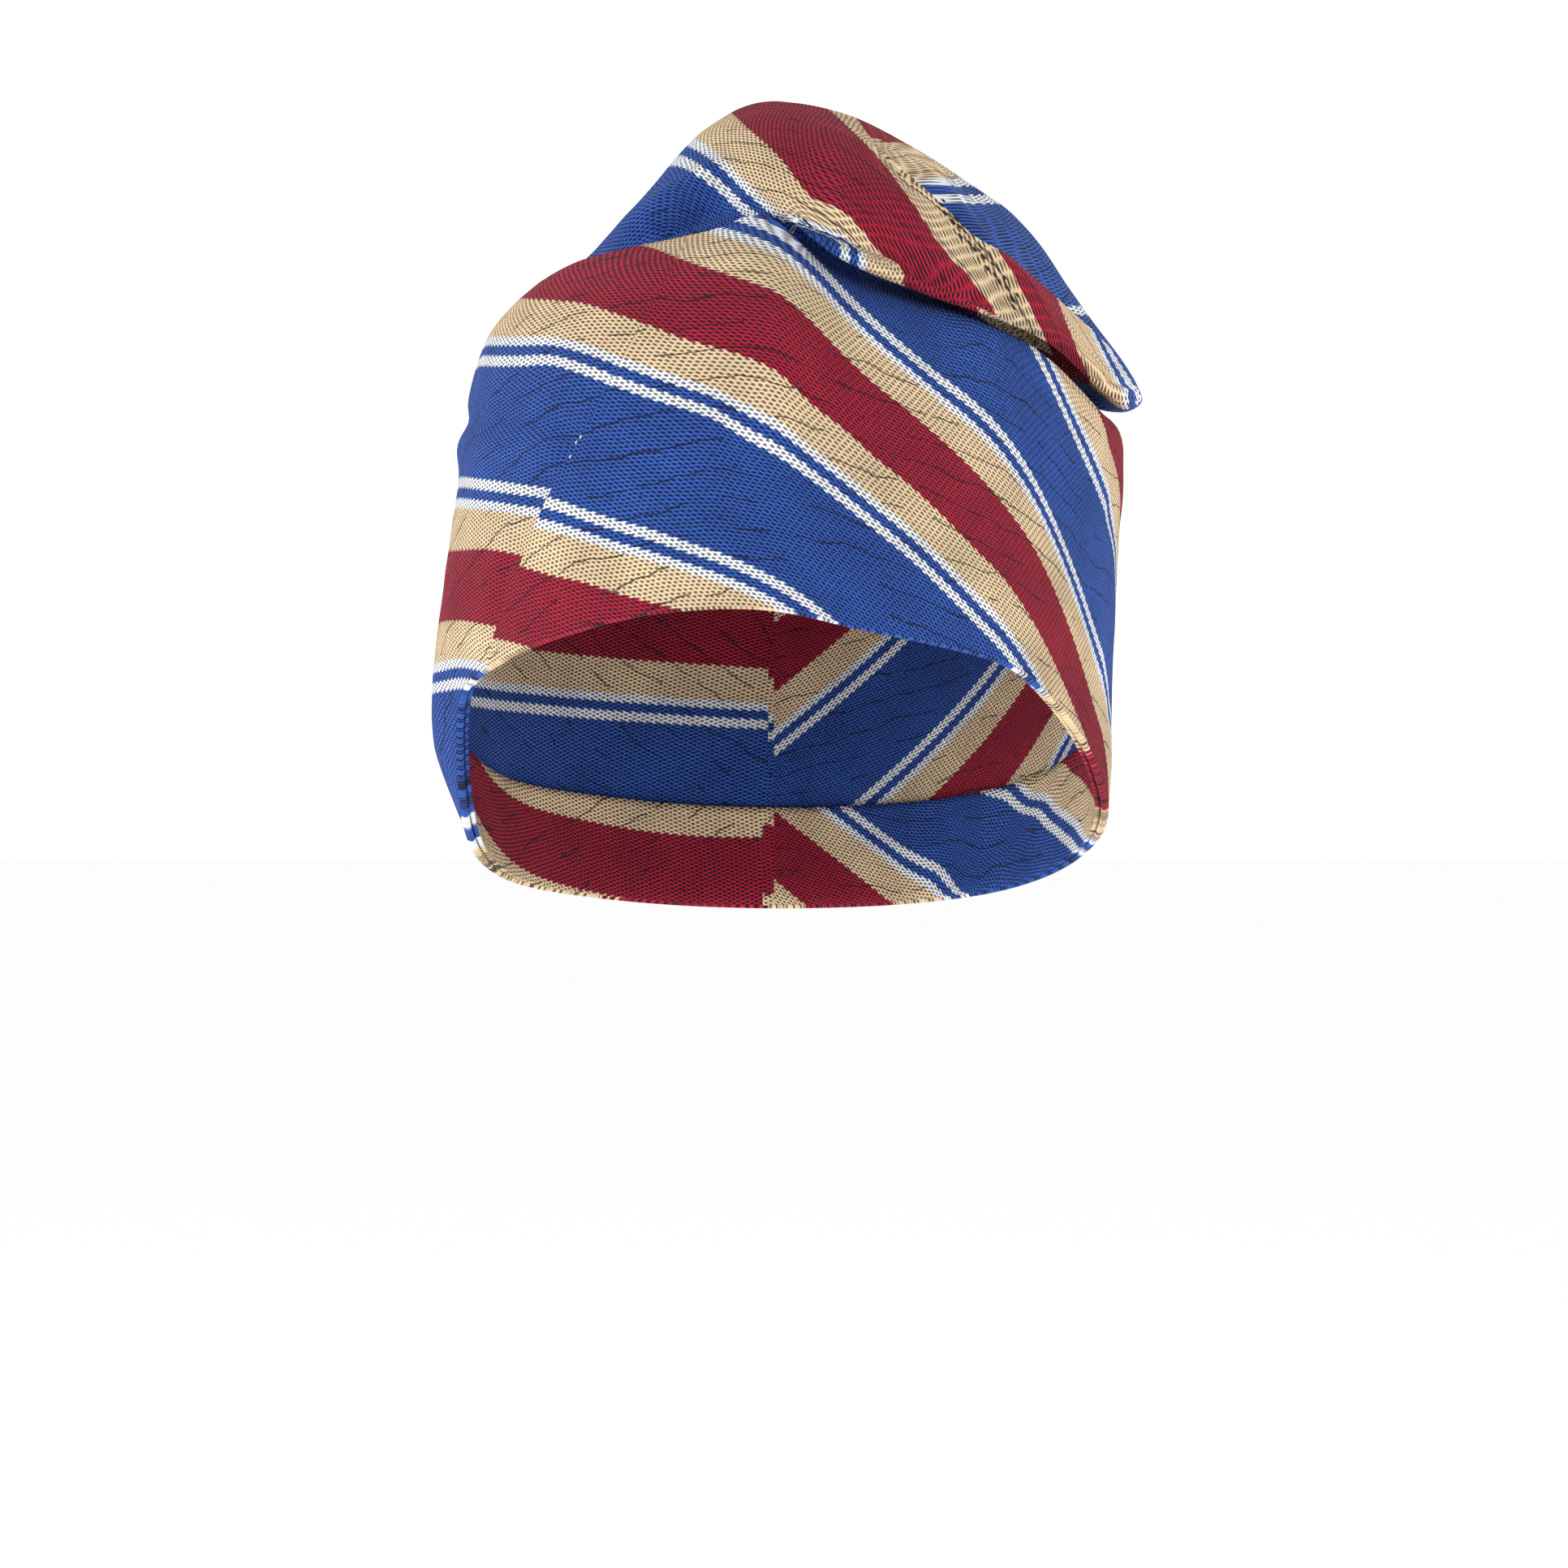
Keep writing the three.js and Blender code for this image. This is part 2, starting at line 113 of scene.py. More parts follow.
# Creases and soft rolls, seen from the brow side: name, where, height and width in millimetres,
# sharpness, the shares of the line where it is fully in and where it starts to fade, and the line's
# points (x, z) as shares of BAND_WIDTH and CAP_HEIGHT
CREASES = [
    ("closing seam", "fold", -1.5, 3.2, 1.0, (0.1, 0.9), [
        (0.145, 0.955), (0.158, 0.936), (0.173, 0.906), (0.2, 0.884), (0.245, 0.856), (0.263, 0.826),
        (0.278, 0.804), (0.293, 0.788), (0.309, 0.769), (0.325, 0.75), (0.339, 0.731), (0.352, 0.712),
        (0.361, 0.689),
    ]),
    ("roll beside the seam", "fold", 1.7, 8, 1.3, (0.1, 1.1), [
        (0.2, 0.9), (0.262, 0.86), (0.292, 0.82), (0.325, 0.785), (0.356, 0.75), (0.385, 0.715), (0.4, 0.68),
    ]),
    ("roll before the seam", "fold", 0.9, 8, 1.5, (0.2, 0.9), [
        (0.13, 0.9), (0.2, 0.83), (0.25, 0.77), (0.3, 0.71),
    ]),
    ("valley behind the roll", "fold", -4.2, 8, 1.2, (0.3, 1.1), [
        (0.21, 0.96), (0.3, 0.87), (0.345, 0.82), (0.4, 0.77), (0.465, 0.69), (0.52, 0.63),
    ]),
    ("valley over the lip", "fold", -1.9, 4.6, 1.3, (0.08, 0.8), [
        (0.012, 0.832), (0.05, 0.822), (0.131, 0.792), (0.189, 0.765), (0.235, 0.743), (0.29, 0.715),
        (0.34, 0.69),
    ]),
    ("ridge over that valley", "fold", 1.2, 7, 1.5, (0.15, 0.85), [
        (0.04, 0.86), (0.1, 0.85), (0.16, 0.815), (0.22, 0.785), (0.27, 0.75),
    ]),
    ("roll of the lip", "fold", 1.3, 7, 1.5, (0.1, 0.9), [
        (0.03, 0.79), (0.1, 0.765), (0.17, 0.735), (0.24, 0.71), (0.32, 0.675), (0.4, 0.63),
    ]),
    ("ridge on the left slope", "fold", 0.9, 9, 1.5, (0.25, 1.1), [
        (-0.24, 0.79), (-0.18, 0.82), (-0.12, 0.86), (-0.08, 0.89),
    ]),
    ("roll along the left slope", "fold", 2.0, 5, 1.5, (0.15, 0.9), [
        (-0.2, 0.775), (-0.177, 0.79), (-0.102, 0.814), (-0.034, 0.824), (0.01, 0.83),
    ]),
    ("valley above that roll", "fold", -2.4, 6, 1.5, (0.2, 0.8), [
        (-0.19, 0.8), (-0.16, 0.815), (-0.1, 0.838), (-0.04, 0.85), (0.01, 0.856),
    ]),
    ("ridge up the left slope", "fold", 2.6, 6, 1.5, (0.5, 0.75), [
        (-0.265, 0.787), (-0.21, 0.824), (-0.142, 0.867), (-0.1, 0.89), (-0.056, 0.925),
    ]),
    ("valley under that ridge", "fold", -4.2, 7, 1.5, (0.5, 0.75), [
        (-0.249, 0.762), (-0.194, 0.799), (-0.126, 0.842), (-0.085, 0.865), (-0.045, 0.9),
    ]),
    ("dart", "wall", -0.9, 5, 1.2, (0.25, 1.1), [(-0.43, 0.16), (-0.4, 0.31), (-0.36, 0.42), (-0.29, 0.51)]),
    ("fold from the dart", "wall", -0.9, 9, 1.5, (0.25, 0.8), [
        (-0.3, 0.51), (-0.21, 0.48), (-0.1, 0.42), (0.0, 0.36), (0.07, 0.32),
    ]),
    ("ridge under that fold", "wall", 0.6, 9, 1.5, (0.25, 0.8), [
        (-0.28, 0.48), (-0.19, 0.44), (-0.09, 0.38), (0.0, 0.32),
    ]),
    ("ledge left of the dart", "wall", 1.4, 11, 1.5, (0.2, 1.1), [
        (-0.3, 0.485), (-0.36, 0.49), (-0.43, 0.495), (-0.49, 0.49),
    ]),
    ("fold above the ledge", "wall", -1.0, 7, 1.5, (0.2, 1.1), [
        (-0.28, 0.52), (-0.36, 0.53), (-0.43, 0.535), (-0.49, 0.53),
    ]),
    ("fold under the tip", "wall", -1.0, 14, 1.5, (0.25, 1.1), [
        (0.26, 0.52), (0.34, 0.47), (0.42, 0.42), (0.48, 0.38),
    ]),
]

# How far back creases reach on each part and how softly they end there, as shares of BAND_DEPTH
CREASE_REACH = {"fold": -0.15, "wall": 0}
CREASE_FADE = 0.13
# They also fade where the cloth faces down: the outward direction's height there
CREASE_FACING = (-0.7, -0.2)

# The cloth's unevenness: its height and the sizes of its broad and small swells, in millimetres, the
# small ones' share and their shift in the noise
UNEVEN_HEIGHT = 0.45
UNEVEN_SIZES = (23.0, 8.0)
UNEVEN_SHARE = 0.35
UNEVEN_SHIFT = (7, 3, 1)

# Widths of the stripes across the cloth, in millimetres, from one repeat's start
STRIPES = [
    ("white", 2.4), ("blue", 2.6), ("white", 2.4), ("beige", 9.5), ("red", 19.0),
    ("beige", 9.5), ("white", 2.4), ("blue", 2.6), ("white", 2.4), ("blue", 30.0),
]
REPEAT = sum(width for _, width in STRIPES)

# Where stripe edges run over the cap as seen from the brow: a row for each distance x from the middle,
# and in each column the height of one edge, in millimetres. The heads are the edges' places across the
# cloth.
BODY_EDGES = (-82.8, -65.9, -46.9, -30.0, 0.0, 16.9, 35.9, 52.8)
BODY_LINES = {
    -86: (16, 36, 54, 72, 103, 121, 142, 160),
    -78.6: (20, 37.4, 54.4, 73, 103.4, 120, 141, 158),
    -70.6: (19.2, 36, 55, 72.2, 103, 119.6, 139, 156),
    -62.6: (17, 34.2, 53.6, 71.2, 103, 119.4, 137, 154),
    -54.6: (14, 31.6, 51.4, 70.2, 103.2, 119, 135, 152),
    -46.6: (12, 30, 49.6, 67.4, 100.8, 118.2, 134, 150),
    -38.6: (10, 28, 47, 64.8, 97.8, 115.6, 133.5, 148),
    -30.6: (8, 26, 44.8, 62.6, 95, 112.8, 132.4, 146),
    -22.6: (5, 23, 42.8, 59.8, 92.6, 109.6, 129.4, 144),
    -14.6: (2, 20, 40.2, 57.2, 89.8, 107.4, 126.6, 142),
    -6.6: (-1, 17, 37, 54, 84.8, 105, 124, 140.2),
    1.4: (-5, 13, 33, 50, 80.4, 101, 120.8, 136.8),
    9.4: (-10, 8, 28, 44.8, 74.8, 93.4, 114, 130.4),
    17.4: (-17, 1, 21, 38.2, 68.6, 87.2, 105.6, 121.8),
    25.4: (-25, -7, 13, 30.8, 62.2, 80, 98.2, 114),
    33.4: (-33, -15, 5, 23.2, 55.6, 73.6, 91.8, 107),
    41.4: (-42, -24, -4, 14.8, 48, 66.2, 84.8, 100.4),
    49.4: (-53, -34, -13, 5.2, 39.8, 58, 77.2, 94.2),
    57.4: (-66, -46, -25, -5.8, 31.2, 49.6, 68, 85.8),
    65.4: (-82, -62, -40, -20, 19.2, 37.2, 56, 73.2),
    73.4: (-104, -84, -62, -40, 1.2, 20.2, 37.2, 55),
    81.4: (-132, -110, -86, -64, -21.8, -0.6, 11.2, 31.6),
    89.4: (-165, -142, -118, -95, -50, -26, -12, 8),
}
FOLD_EDGES = (82.8, 90.2, 99.7, 118.7, 128.2)
FOLD_LINES = {
    -60: (126, 133, 143, 163, 173),
    -45: (137, 144, 154, 174, 184),
    -23.4: (152.2, 160.2, 173.2, 190, 199),
    -14.6: (146.8, 156, 168.8, 187, 197),
    -6.6: (139.6, 148.2, 161.6, 182, 190),
    1.4: (134.8, 141, 154.2, 176, 184),
    9.4: (130.8, 138.6, 144.2, 170, 177.2),
    17.4: (125.6, 135.2, 140.6, 163, 168.2),
    25.4: (118, 123.6, 131.6, 155.0, 158.2),
    33.4: (108, 113.5, 121, 144.6, 148.8),
    41.4: (97, 103.5, 112, 132.4, 143.0),
    49.4: (87, 93.5, 102, 123.6, 131.4),
    57.4: (76, 82.5, 91, 112.2, 120.8),
    65.4: (64, 70, 78, 99, 104),
    90: (30, 36, 44, 60, 66),
}
FAR_EDGES = (128.2, 118.7, 99.7, 90.2, 82.8)
FAR_LINES = {
    17.4: (168.2, 178, 196, 205, 212),
    33.4: (148.8, 160, 184, 194, 201),
    41.4: (143.0, 150.5, 172, 184, 192),
    49.4: (131.4, 139.2, 161.2, 171.2, 179.2),
    57.4: (120.8, 128.4, 148.2, 157.2, 165.2),
    65.4: (104, 113.2, 131.2, 141.2, 149.2),
    73.4: (86, 95.2, 110.8, 121.2, 128.2),
    81.4: (66, 73.2, 91, 104.8, 110.4),
    91: (44, 50, 66, 86, 95),
}
# Round each side of the wall: the azimuth past which the front's stripes are carried on, and how fast
# they sink on the way
SIDE_COURSES = ((-72, 0.05), (70, 0.8))
# Round the rolled lip the stripes run straight down: the distance x of each edge there, and its place
LIP_STRIPES = {
    4: 74, 16.6: 82.8, 22.8: 90.2, 31.8: 99.7, 50.4: 118.7, 58.8: 128.2, 65: 118.7, 78: 99.7, 86: 90.2,
    91: 82.8, 97: 77,
}
LIP_SEAM = 58.8
# Where they start, as distances x, and how softly they meet the stripes above them
LIP_START = (3, 9)
LIP_BLEND = (-1.3, -0.4)
# The valley over the lip, below which they do so
LIP_TOP = {
    0: 140, 5.6: 138.8, 21.6: 133, 31.2: 128.6, 38.8: 124.8, 50: 119, 58: 114, 66: 108, 76: 102, 88: 98,
}
# The edge of the roll beside the seam. The back panel shows behind it, and all round the back from
# ROLL_DEPTH in front of the middle on.
ROLL_EDGE = {
    17.4: 168.2, 25.4: 157.6, 33.4: 150.2, 41.4: 143, 49.4: 135.2, 57.4: 130.6, 65.4: 123.8, 73.4: 116.6,
    81.4: 109.2, 91: 98,
}
ROLL_DEPTH = 8
# The back panel: the height where its repeat starts, the pace of its stripes above and below it, how
# much lower they lie to the left, and the place at which they stop, so that the tip stays blue
BACK_LEVEL = 143
BACK_PACE = (1.2, 1.18)
BACK_DROP = 9
BACK_DROP_SPAN = (-10, 40)
TIP_PLACE = 49
# Azimuths and depths between which the back's stripes take the place of the front's
BACK_AZIMUTHS = (84, 100)
BACK_DEPTHS = (-6, 14)
# The dart's line, from the hem to its end, and how far it shifts the stripes there
DART_LINE = [(-71.2, 26.2), (-69.2, 36.2), (-62.6, 54), (-56.6, 69.2), (-47.6, 85.8)]
DART_SHIFT = [3.2, 3.0, 2.8, 2.4, 0.0]

# What the maps of distances hold where an edge or a seam is out of reach
FAR_OFF = 50.0

# The threads' solver: its steps, the square of the shortest step on the cloth, and the slope of the
# stripes past which a step counts as a jump, with its hold there
SOLVER_STEPS = 900
SHORT_STEP = 0.04
CUT_PACE = 6
CUT_HOLD = 0.01

# The rim's rounding: shares of the way through the cloth, and how far it bulges there
RIM_STEPS = ((0.3, 0.5), (0.62, 0.72), (0.86, 0.5))
FACING_ROWS = 14

# The weave: its beads' sizes, the teeth of its stripes' edges, and the course of its dark lines
BEAD_WIDTH = 1.05
BEAD_LENGTH = 2.5
STRIPE_TEETH = 0.4
LINE_SLANT = 32
LINE_SPACING = 7.5
LINE_WIDTH = 0.2
WEFT = (0.012, 0.010, 0.016, 1)
# The height of its beads, in metres
RELIEF = 0.0006
# Added before a fraction is taken, so that it never starts from a negative number
ABOVE_ZERO = 900.0

# The closing seam's stitches: the point of its line that they start from, and their pitch
SEAM_START = 4
SEAM_PITCH = 2.4
# Colours of the sewing threads
BLACK_THREAD = (0.012, 0.011, 0.013)
WHITE_THREAD = (0.75, 0.77, 0.8)
# The white stitches that close the dart's end
DART_STITCHES = [(-47.6, 85.8), (-48.4, 83.9), (-50.2, 80.8)]

# The camera: its distance and offset in millimetres, and how large it shows the cap's middle
VIEW_DISTANCE = 1600.0
VIEW_OFFSET = 2.6
PIXELS_PER_MM = 5
IMAGE_WIDTH = 1932
SENSOR_WIDTH = 36

# The stage, in metres and watts
FLOOR_SIZE = 40
FLOOR_LEVEL = -0.25
FLOOR_PAINT = (0.98, 0.98, 0.98)
FLOOR_GLOW = 0.26
LIGHT_SIZE = 1.0
LIGHT_AIM = (0, 0, 0.07)
LIGHTS = (("key_left", (-1.5, -0.9, 0.1), 17.0), ("key_right", (1.5, -0.7, 0.0), 12.0))
# The soft light from all round, stronger low down and behind: the direction's height and its depth,
# each from one value to another, and the light's strength at both
LIGHT_ABOVE = (0.15, 0.85, 1.15, 0.6)
LIGHT_AHEAD = (-0.2, -0.9, 1.0, 0.8)


# --- The surface ----------------------------------------------------------------------------------


def cubic_through(knots, values, places):
    """The smooth curve through rows of values at rising knots, held straight beyond the ends."""
    knots = np.asarray(knots, float)
    values = np.asarray(values, float)
    steps = np.diff(knots)
    slopes = np.diff(values, axis=0) / steps.reshape(-1, *[1] * (values.ndim - 1))
    tangents = np.empty_like(values)
    tangents[0], tangents[-1] = slopes[0], slopes[-1]
    before = steps[:-1].reshape(-1, *[1] * (values.ndim - 1))
    after = steps[1:].reshape(-1, *[1] * (values.ndim - 1))
    tangents[1:-1] = (slopes[:-1] * after + slopes[1:] * before) / (before + after)
    k = np.clip(np.searchsorted(knots, places, side="right") - 1, 0, len(knots) - 2)
    shape = places.shape + (1,) * (values.ndim - 1)
    span = steps[k].reshape(shape)
    u = ((places - knots[k]).reshape(shape)) / span
    inside = np.clip(u, 0, 1)
    result = blend(values[k], tangents[k] * span, values[k + 1], tangents[k + 1] * span, inside)
    slope_out = np.where(u < 0, tangents[k], tangents[k + 1])
    return result + (u - inside) * span * slope_out


def blend(start, slope_start, end, slope_end, u):
    """The cubic from one value to another with the slope at each end, at a share u of the way."""
    rise = u * u * (3 - 2 * u)
    return start + (end - start) * rise + slope_start * u * (1 - u) ** 2 - slope_end * u * u * (1 - u)


def smooth_step(value, low, high):
    """0 below low, 1 above high and smooth between."""
    u = np.clip((value - low) / (high - low), 0, 1)
    return u * u * (3 - 2 * u)


def section_columns(names, rows, azimuths):
    """Each named column of a table of sections at the azimuths, running smoothly round the head."""
    table = np.array(rows, float)
    lapped = np.vstack([table, table, table])
    count = len(table)
    lapped[:count, 0] -= 360
    lapped[2 * count:, 0] += 360
    values = cubic_through(lapped[:, 0], lapped[:, 1:], azimuths)
    return {name: values[:, k] for k, name in enumerate(names[1:])}


def column_azimuths():
    """The azimuths of the columns, finer round the front, from nape to nape."""
    front = round(2 * FRONT_HALF / FRONT_STEP)
    back = round((180 - FRONT_HALF) / BACK_STEP)
    return np.concatenate([
        np.linspace(-180, -FRONT_HALF, back, endpoint=False),
        np.linspace(-FRONT_HALF, FRONT_HALF, front, endpoint=False),
        np.linspace(FRONT_HALF, 180, back + 1),
    ])


def cloth_surface(azimuths):
    """Points of the cloth's outer face: a column for each azimuth, and rows from the hem to the top."""
    wall = section_columns(WALL_COLUMNS, WALL_SECTIONS, azimuths)
    fold = section_columns(FOLD_COLUMNS, FOLD_SECTIONS, azimuths)
    fold_names = ("under", "edge", "lip", "flank", "dome")
    a = np.radians(azimuths)
    radius = 1 / np.hypot(np.sin(a) / (BAND_WIDTH / 2), np.cos(a) / (BAND_DEPTH / 2))
    hem = wall["hem"] * np.where(wall["hem"] > 0, BROW_RISE, NAPE_DROP)
    shoulder = wall["shoulder"] * CAP_HEIGHT
    wall_names = ("hem_reach", "band", "side", "shoulder_reach", "rim_reach", "crease_reach")
    reach = [wall[name] for name in wall_names] + [fold[name + "_reach"] for name in fold_names]
    reach += [np.zeros_like(a)]
    height = [hem, hem + BAND_LEVEL * (shoulder - hem), hem + SIDE_LEVEL * (shoulder - hem), shoulder]
    height += [wall[name] * CAP_HEIGHT for name in ("rim", "crease")]
    height += [fold[name] * CAP_HEIGHT for name in fold_names] + [np.full_like(a, CAP_HEIGHT)]
    course = np.stack([np.array(reach) * radius, np.array(height)], axis=-1)
    heading = np.empty_like(course)
    heading[1:-1] = course[2:] - course[:-2]
    heading[0] = course[1] - course[0]
    heading[:-1] /= np.linalg.norm(heading[:-1], axis=-1, keepdims=True)
    heading[-1] = (-1, 0)
    rows = [course[0]]
    for k, count in enumerate(ROWS.values()):
        span = np.linalg.norm(course[k + 1] - course[k], axis=-1, keepdims=True)
        ends = (course[k], heading[k] * span, course[k + 1], heading[k + 1] * span)
        rows += [blend(*ends, step / count) for step in range(1, count + 1)]
    rz = np.stack(rows)
    points = np.stack([rz[..., 0] * np.sin(a), -rz[..., 0] * np.cos(a), rz[..., 1]], axis=-1)
    return points.transpose(1, 0, 2)


def row_of(station):
    """The row that holds a section of the course."""
    return sum(list(ROWS.values())[:station])


def surface_normals(points):
    """Outward directions of a grid that closes on itself from its last column to its first."""
    wrapped = np.concatenate([points[-2:-1], points, points[1:2]])
    out = np.cross(wrapped[2:] - wrapped[:-2], np.gradient(points, axis=1))
    out = out / np.maximum(np.linalg.norm(out, axis=-1, keepdims=True), 1e-9)
    out[:, -1] = (0, 0, 1)
    return out


def along_line(line, x, z):
    """The distance of points from a line, the share of the way along it, and how far right of it they lie."""
    line = np.asarray(line, float)
    best = np.full(x.shape, 1e9)
    share = np.zeros(x.shape)
    side = np.zeros(x.shape)
    for k in range(len(line) - 1):
        (ax, az), (bx, bz) = line[k], line[k + 1]
        dx, dz = bx - ax, bz - az
        u = ((x - ax) * dx + (z - az) * dz) / (dx * dx + dz * dz)
        # beyond its ends the line runs on straight, for the side only
        low = -9.0 if k == 0 else 0.0
        high = 9.0 if k == len(line) - 2 else 1.0
        clipped = np.clip(u, 0, 1)
        distance = np.hypot(x - ax - clipped * dx, z - az - clipped * dz)
        reach = np.clip(u, low, high)
        wide = np.hypot(x - ax - reach * dx, z - az - reach * dz)
        turn = np.sign((x - ax) * dz - (z - az) * dx)
        closer = distance < best
        share = np.where(closer, (k + clipped) / (len(line) - 1), share)
        side = np.where(closer, turn * wide, side)
        best = np.where(closer, distance, best)
    return best, share, side


def add_creases(points, out):
    """Lifts and dents the cloth along its creases and rolls, and gives it a slight unevenness."""
    x, z = front_view(points)
    y = points[..., 1]
    upper = smooth_step(out[..., 2], *CREASE_FACING)
    on_fold = np.arange(points.shape[1]) > row_of(CREASE_STATION)
    rows_of = {"fold": on_fold, "wall": ~on_fold}
    lift = np.zeros(x.shape)
    for _, where, height, width, sharpness, (full, fading), line in CREASES:
        scaled = [(px * BAND_WIDTH, pz * CAP_HEIGHT) for px, pz in line]
        distance, share, _ = along_line(scaled, x, z)
        fade = smooth_step(share, 0, full) * (1 - smooth_step(share, fading, 1) * (fading < 1))
        profile = np.exp(-((distance / (width / 2)) ** 2) * sharpness)
        reach = CREASE_REACH[where]
        facing = 1 - smooth_step(y, reach * BAND_DEPTH, (reach + CREASE_FADE) * BAND_DEPTH)
        lift += height * profile * fade * facing * upper * rows_of[where]
    broad, small = UNEVEN_SIZES
    shift = Vector(UNEVEN_SHIFT)
    rough = np.array([
        noise.noise(Vector(p) / broad) + UNEVEN_SHARE * noise.noise(Vector(p) / small + shift)
        for p in points.reshape(-1, 3)
    ])
    lift += UNEVEN_HEIGHT * rough.reshape(x.shape) * smooth_step(np.arange(points.shape[1]), 2, ROWS["band"])
    lift[:, -1] = lift[:, -1].mean()
    lift[-1] = lift[0]
    return points + out * lift[..., None]


# --- The stripes' course over the cloth -----------------------------------------------------------


def front_view(points):
    """Where points lie across and up as seen from the brow side, in millimetres at the cap's middle."""
    scale = VIEW_DISTANCE / (VIEW_DISTANCE + points[..., 1])
    return (points[..., 0] - VIEW_OFFSET) * scale + VIEW_OFFSET, points[..., 2] * scale


def stripe_place(lines, edges, x, z):
    """The place across the cloth at points, from the heights of stripe edges at each distance x."""
    heights = cubic_through(list(lines), [lines[k] for k in lines], x)
    edges = np.asarray(edges, float)
    k = np.clip((z[..., None] > heights).sum(-1) - 1, 0, len(edges) - 2)
    low = np.take_along_axis(heights, k[..., None], -1)[..., 0]
    high = np.take_along_axis(heights, k[..., None] + 1, -1)[..., 0]
    return edges[k] + (z - low) / (high - low) * (edges[k + 1] - edges[k])


def wall_stripes(points, azimuths):
    """Places across the cloth on the wall: as seen from the front, and carried on round the back."""
    x, z = front_view(points)
    place = stripe_place(BODY_LINES, BODY_EDGES, x, z)
    arc = np.zeros(place.shape)
    arc[1:] = np.cumsum(np.linalg.norm(np.diff(points, axis=0), axis=-1), axis=0)
    side, top = row_of(2), row_of(3)
    arc = np.repeat(arc[:, side:side + 1], place.shape[1], axis=1)
    heights = points[..., 2]
    for limit, slope in SIDE_COURSES:
        edge = int(np.argmin(abs(azimuths - limit)))
        beyond = slice(0, edge) if limit < 0 else slice(edge + 1, None)
        seen = heights[beyond] + slope * abs(arc[beyond] - arc[edge])
        known_z, known_s = heights[edge, :top], place[edge, :top]
        pace = (known_s[-1] - known_s[0]) / (known_z[-1] - known_z[0])
        value = np.interp(seen, known_z, known_s)
        value += pace * (np.maximum(seen - known_z[-1], 0) + np.minimum(seen - known_z[0], 0))
        place[beyond] = value
    return place


def fold_stripes(points, azimuths):
    """Places across the folded top before the roll and behind it, where each shows, and the cloth's turn."""
    x, z = front_view(points)
    near = stripe_place(FOLD_LINES, FOLD_EDGES, x, z)
    far = stripe_place(FAR_LINES, FAR_EDGES, x, z)
    seam = cubic_through(list(FOLD_LINES), [row[-1] for row in FOLD_LINES.values()], x)
    roll = cubic_through(list(ROLL_EDGE), list(ROLL_EDGE.values()), x)
    lip_top = np.interp(x, list(LIP_TOP), list(LIP_TOP.values()))
    lip_place = np.interp(x, list(LIP_STRIPES), list(LIP_STRIPES.values()))
    in_lip = (1 - smooth_step(z - lip_top, *LIP_BLEND)) * smooth_step(x, *LIP_START)
    place = np.where(z < seam, near, far) * (1 - in_lip) + lip_place * in_lip
    turn = np.where(in_lip > 0.5, np.where(x < LIP_SEAM, 1, -1), np.where(z < seam, 1, -1))
    pace = np.where(z > BACK_LEVEL, *BACK_PACE)
    behind = REPEAT + (z - BACK_LEVEL) * pace - BACK_DROP * (1 - smooth_step(x, *BACK_DROP_SPAN))
    behind = np.where(behind < TIP_PLACE, TIP_PLACE + 0.02 * (behind - TIP_PLACE), behind)
    turned = smooth_step(np.abs(azimuths), *BACK_AZIMUTHS)[:, None]
    turned = turned * smooth_step(points[..., 1], *BACK_DEPTHS)
    place = place * (1 - turned) + behind * turned
    turn = np.where(turned > 0.5, 1, turn)
    first = next(iter(ROLL_EDGE))
    before = np.minimum(roll - z, -ROLL_DEPTH - points[..., 1]) + 4 * np.maximum(first - x, 0)
    return place, behind, before, turn


def thread_places(points, out, place, turn, crosswise=False):
    """Places in millimetres that rise evenly along the stripes, or across them if crosswise."""
    def gradient(f):
        rise_i, rise_j = np.gradient(f, axis=0)[..., None], np.gradient(f, axis=1)[..., None]
        e_i, e_j = np.gradient(points, axis=0), np.gradient(points, axis=1)
        a, b, c = ((e * g).sum(-1, keepdims=True) for e, g in ((e_i, e_i), (e_i, e_j), (e_j, e_j)))
        rise = (c * rise_i - b * rise_j) * e_i + (a * rise_j - b * rise_i) * e_j
        return rise / np.maximum(a * c - b * b, 1e-6)

    def spread(rise_i, rise_j):
        total = np.zeros(place.shape)
        total[1:] += rise_i
        total[:-1] -= rise_i
        total[:, 1:] += rise_j
        total[:, :-1] -= rise_j
        return total

    def weight(step, jump):
        """How firmly a step holds: barely where the stripes jump, so that the threads start anew there."""
        length = np.maximum((step ** 2).sum(-1), SHORT_STEP)
        return np.where(jump ** 2 > CUT_PACE * length, CUT_HOLD, 1) / length

    across = gradient(place)
    across /= np.maximum(np.linalg.norm(across, axis=-1, keepdims=True), 1e-6)
    way = (across if crosswise else np.cross(out, across)) * turn[..., None]
    step_i, step_j = points[1:] - points[:-1], points[:, 1:] - points[:, :-1]
    want_i = ((way[1:] + way[:-1]) / 2 * step_i).sum(-1)
    want_j = ((way[:, 1:] + way[:, :-1]) / 2 * step_j).sum(-1)
    weight_i = weight(step_i, place[1:] - place[:-1])
    weight_j = weight(step_j, place[:, 1:] - place[:, :-1])
    diagonal = np.zeros(place.shape)
    diagonal[1:] += weight_i
    diagonal[:-1] += weight_i
    diagonal[:, 1:] += weight_j
    diagonal[:, :-1] += weight_j
    result = np.zeros(place.shape)
    left = spread(want_i * weight_i, want_j * weight_j)
    step = left / diagonal
    energy = (left * step).sum()
    for _ in range(SOLVER_STEPS):
        moved = spread((step[1:] - step[:-1]) * weight_i, (step[:, 1:] - step[:, :-1]) * weight_j)
        size = energy / (step * moved).sum()
        result += size * step
        left -= size * moved
        eased = left / diagonal
        fresh = (left * eased).sum()
        step = eased + fresh / energy * step
        energy = fresh
    return result


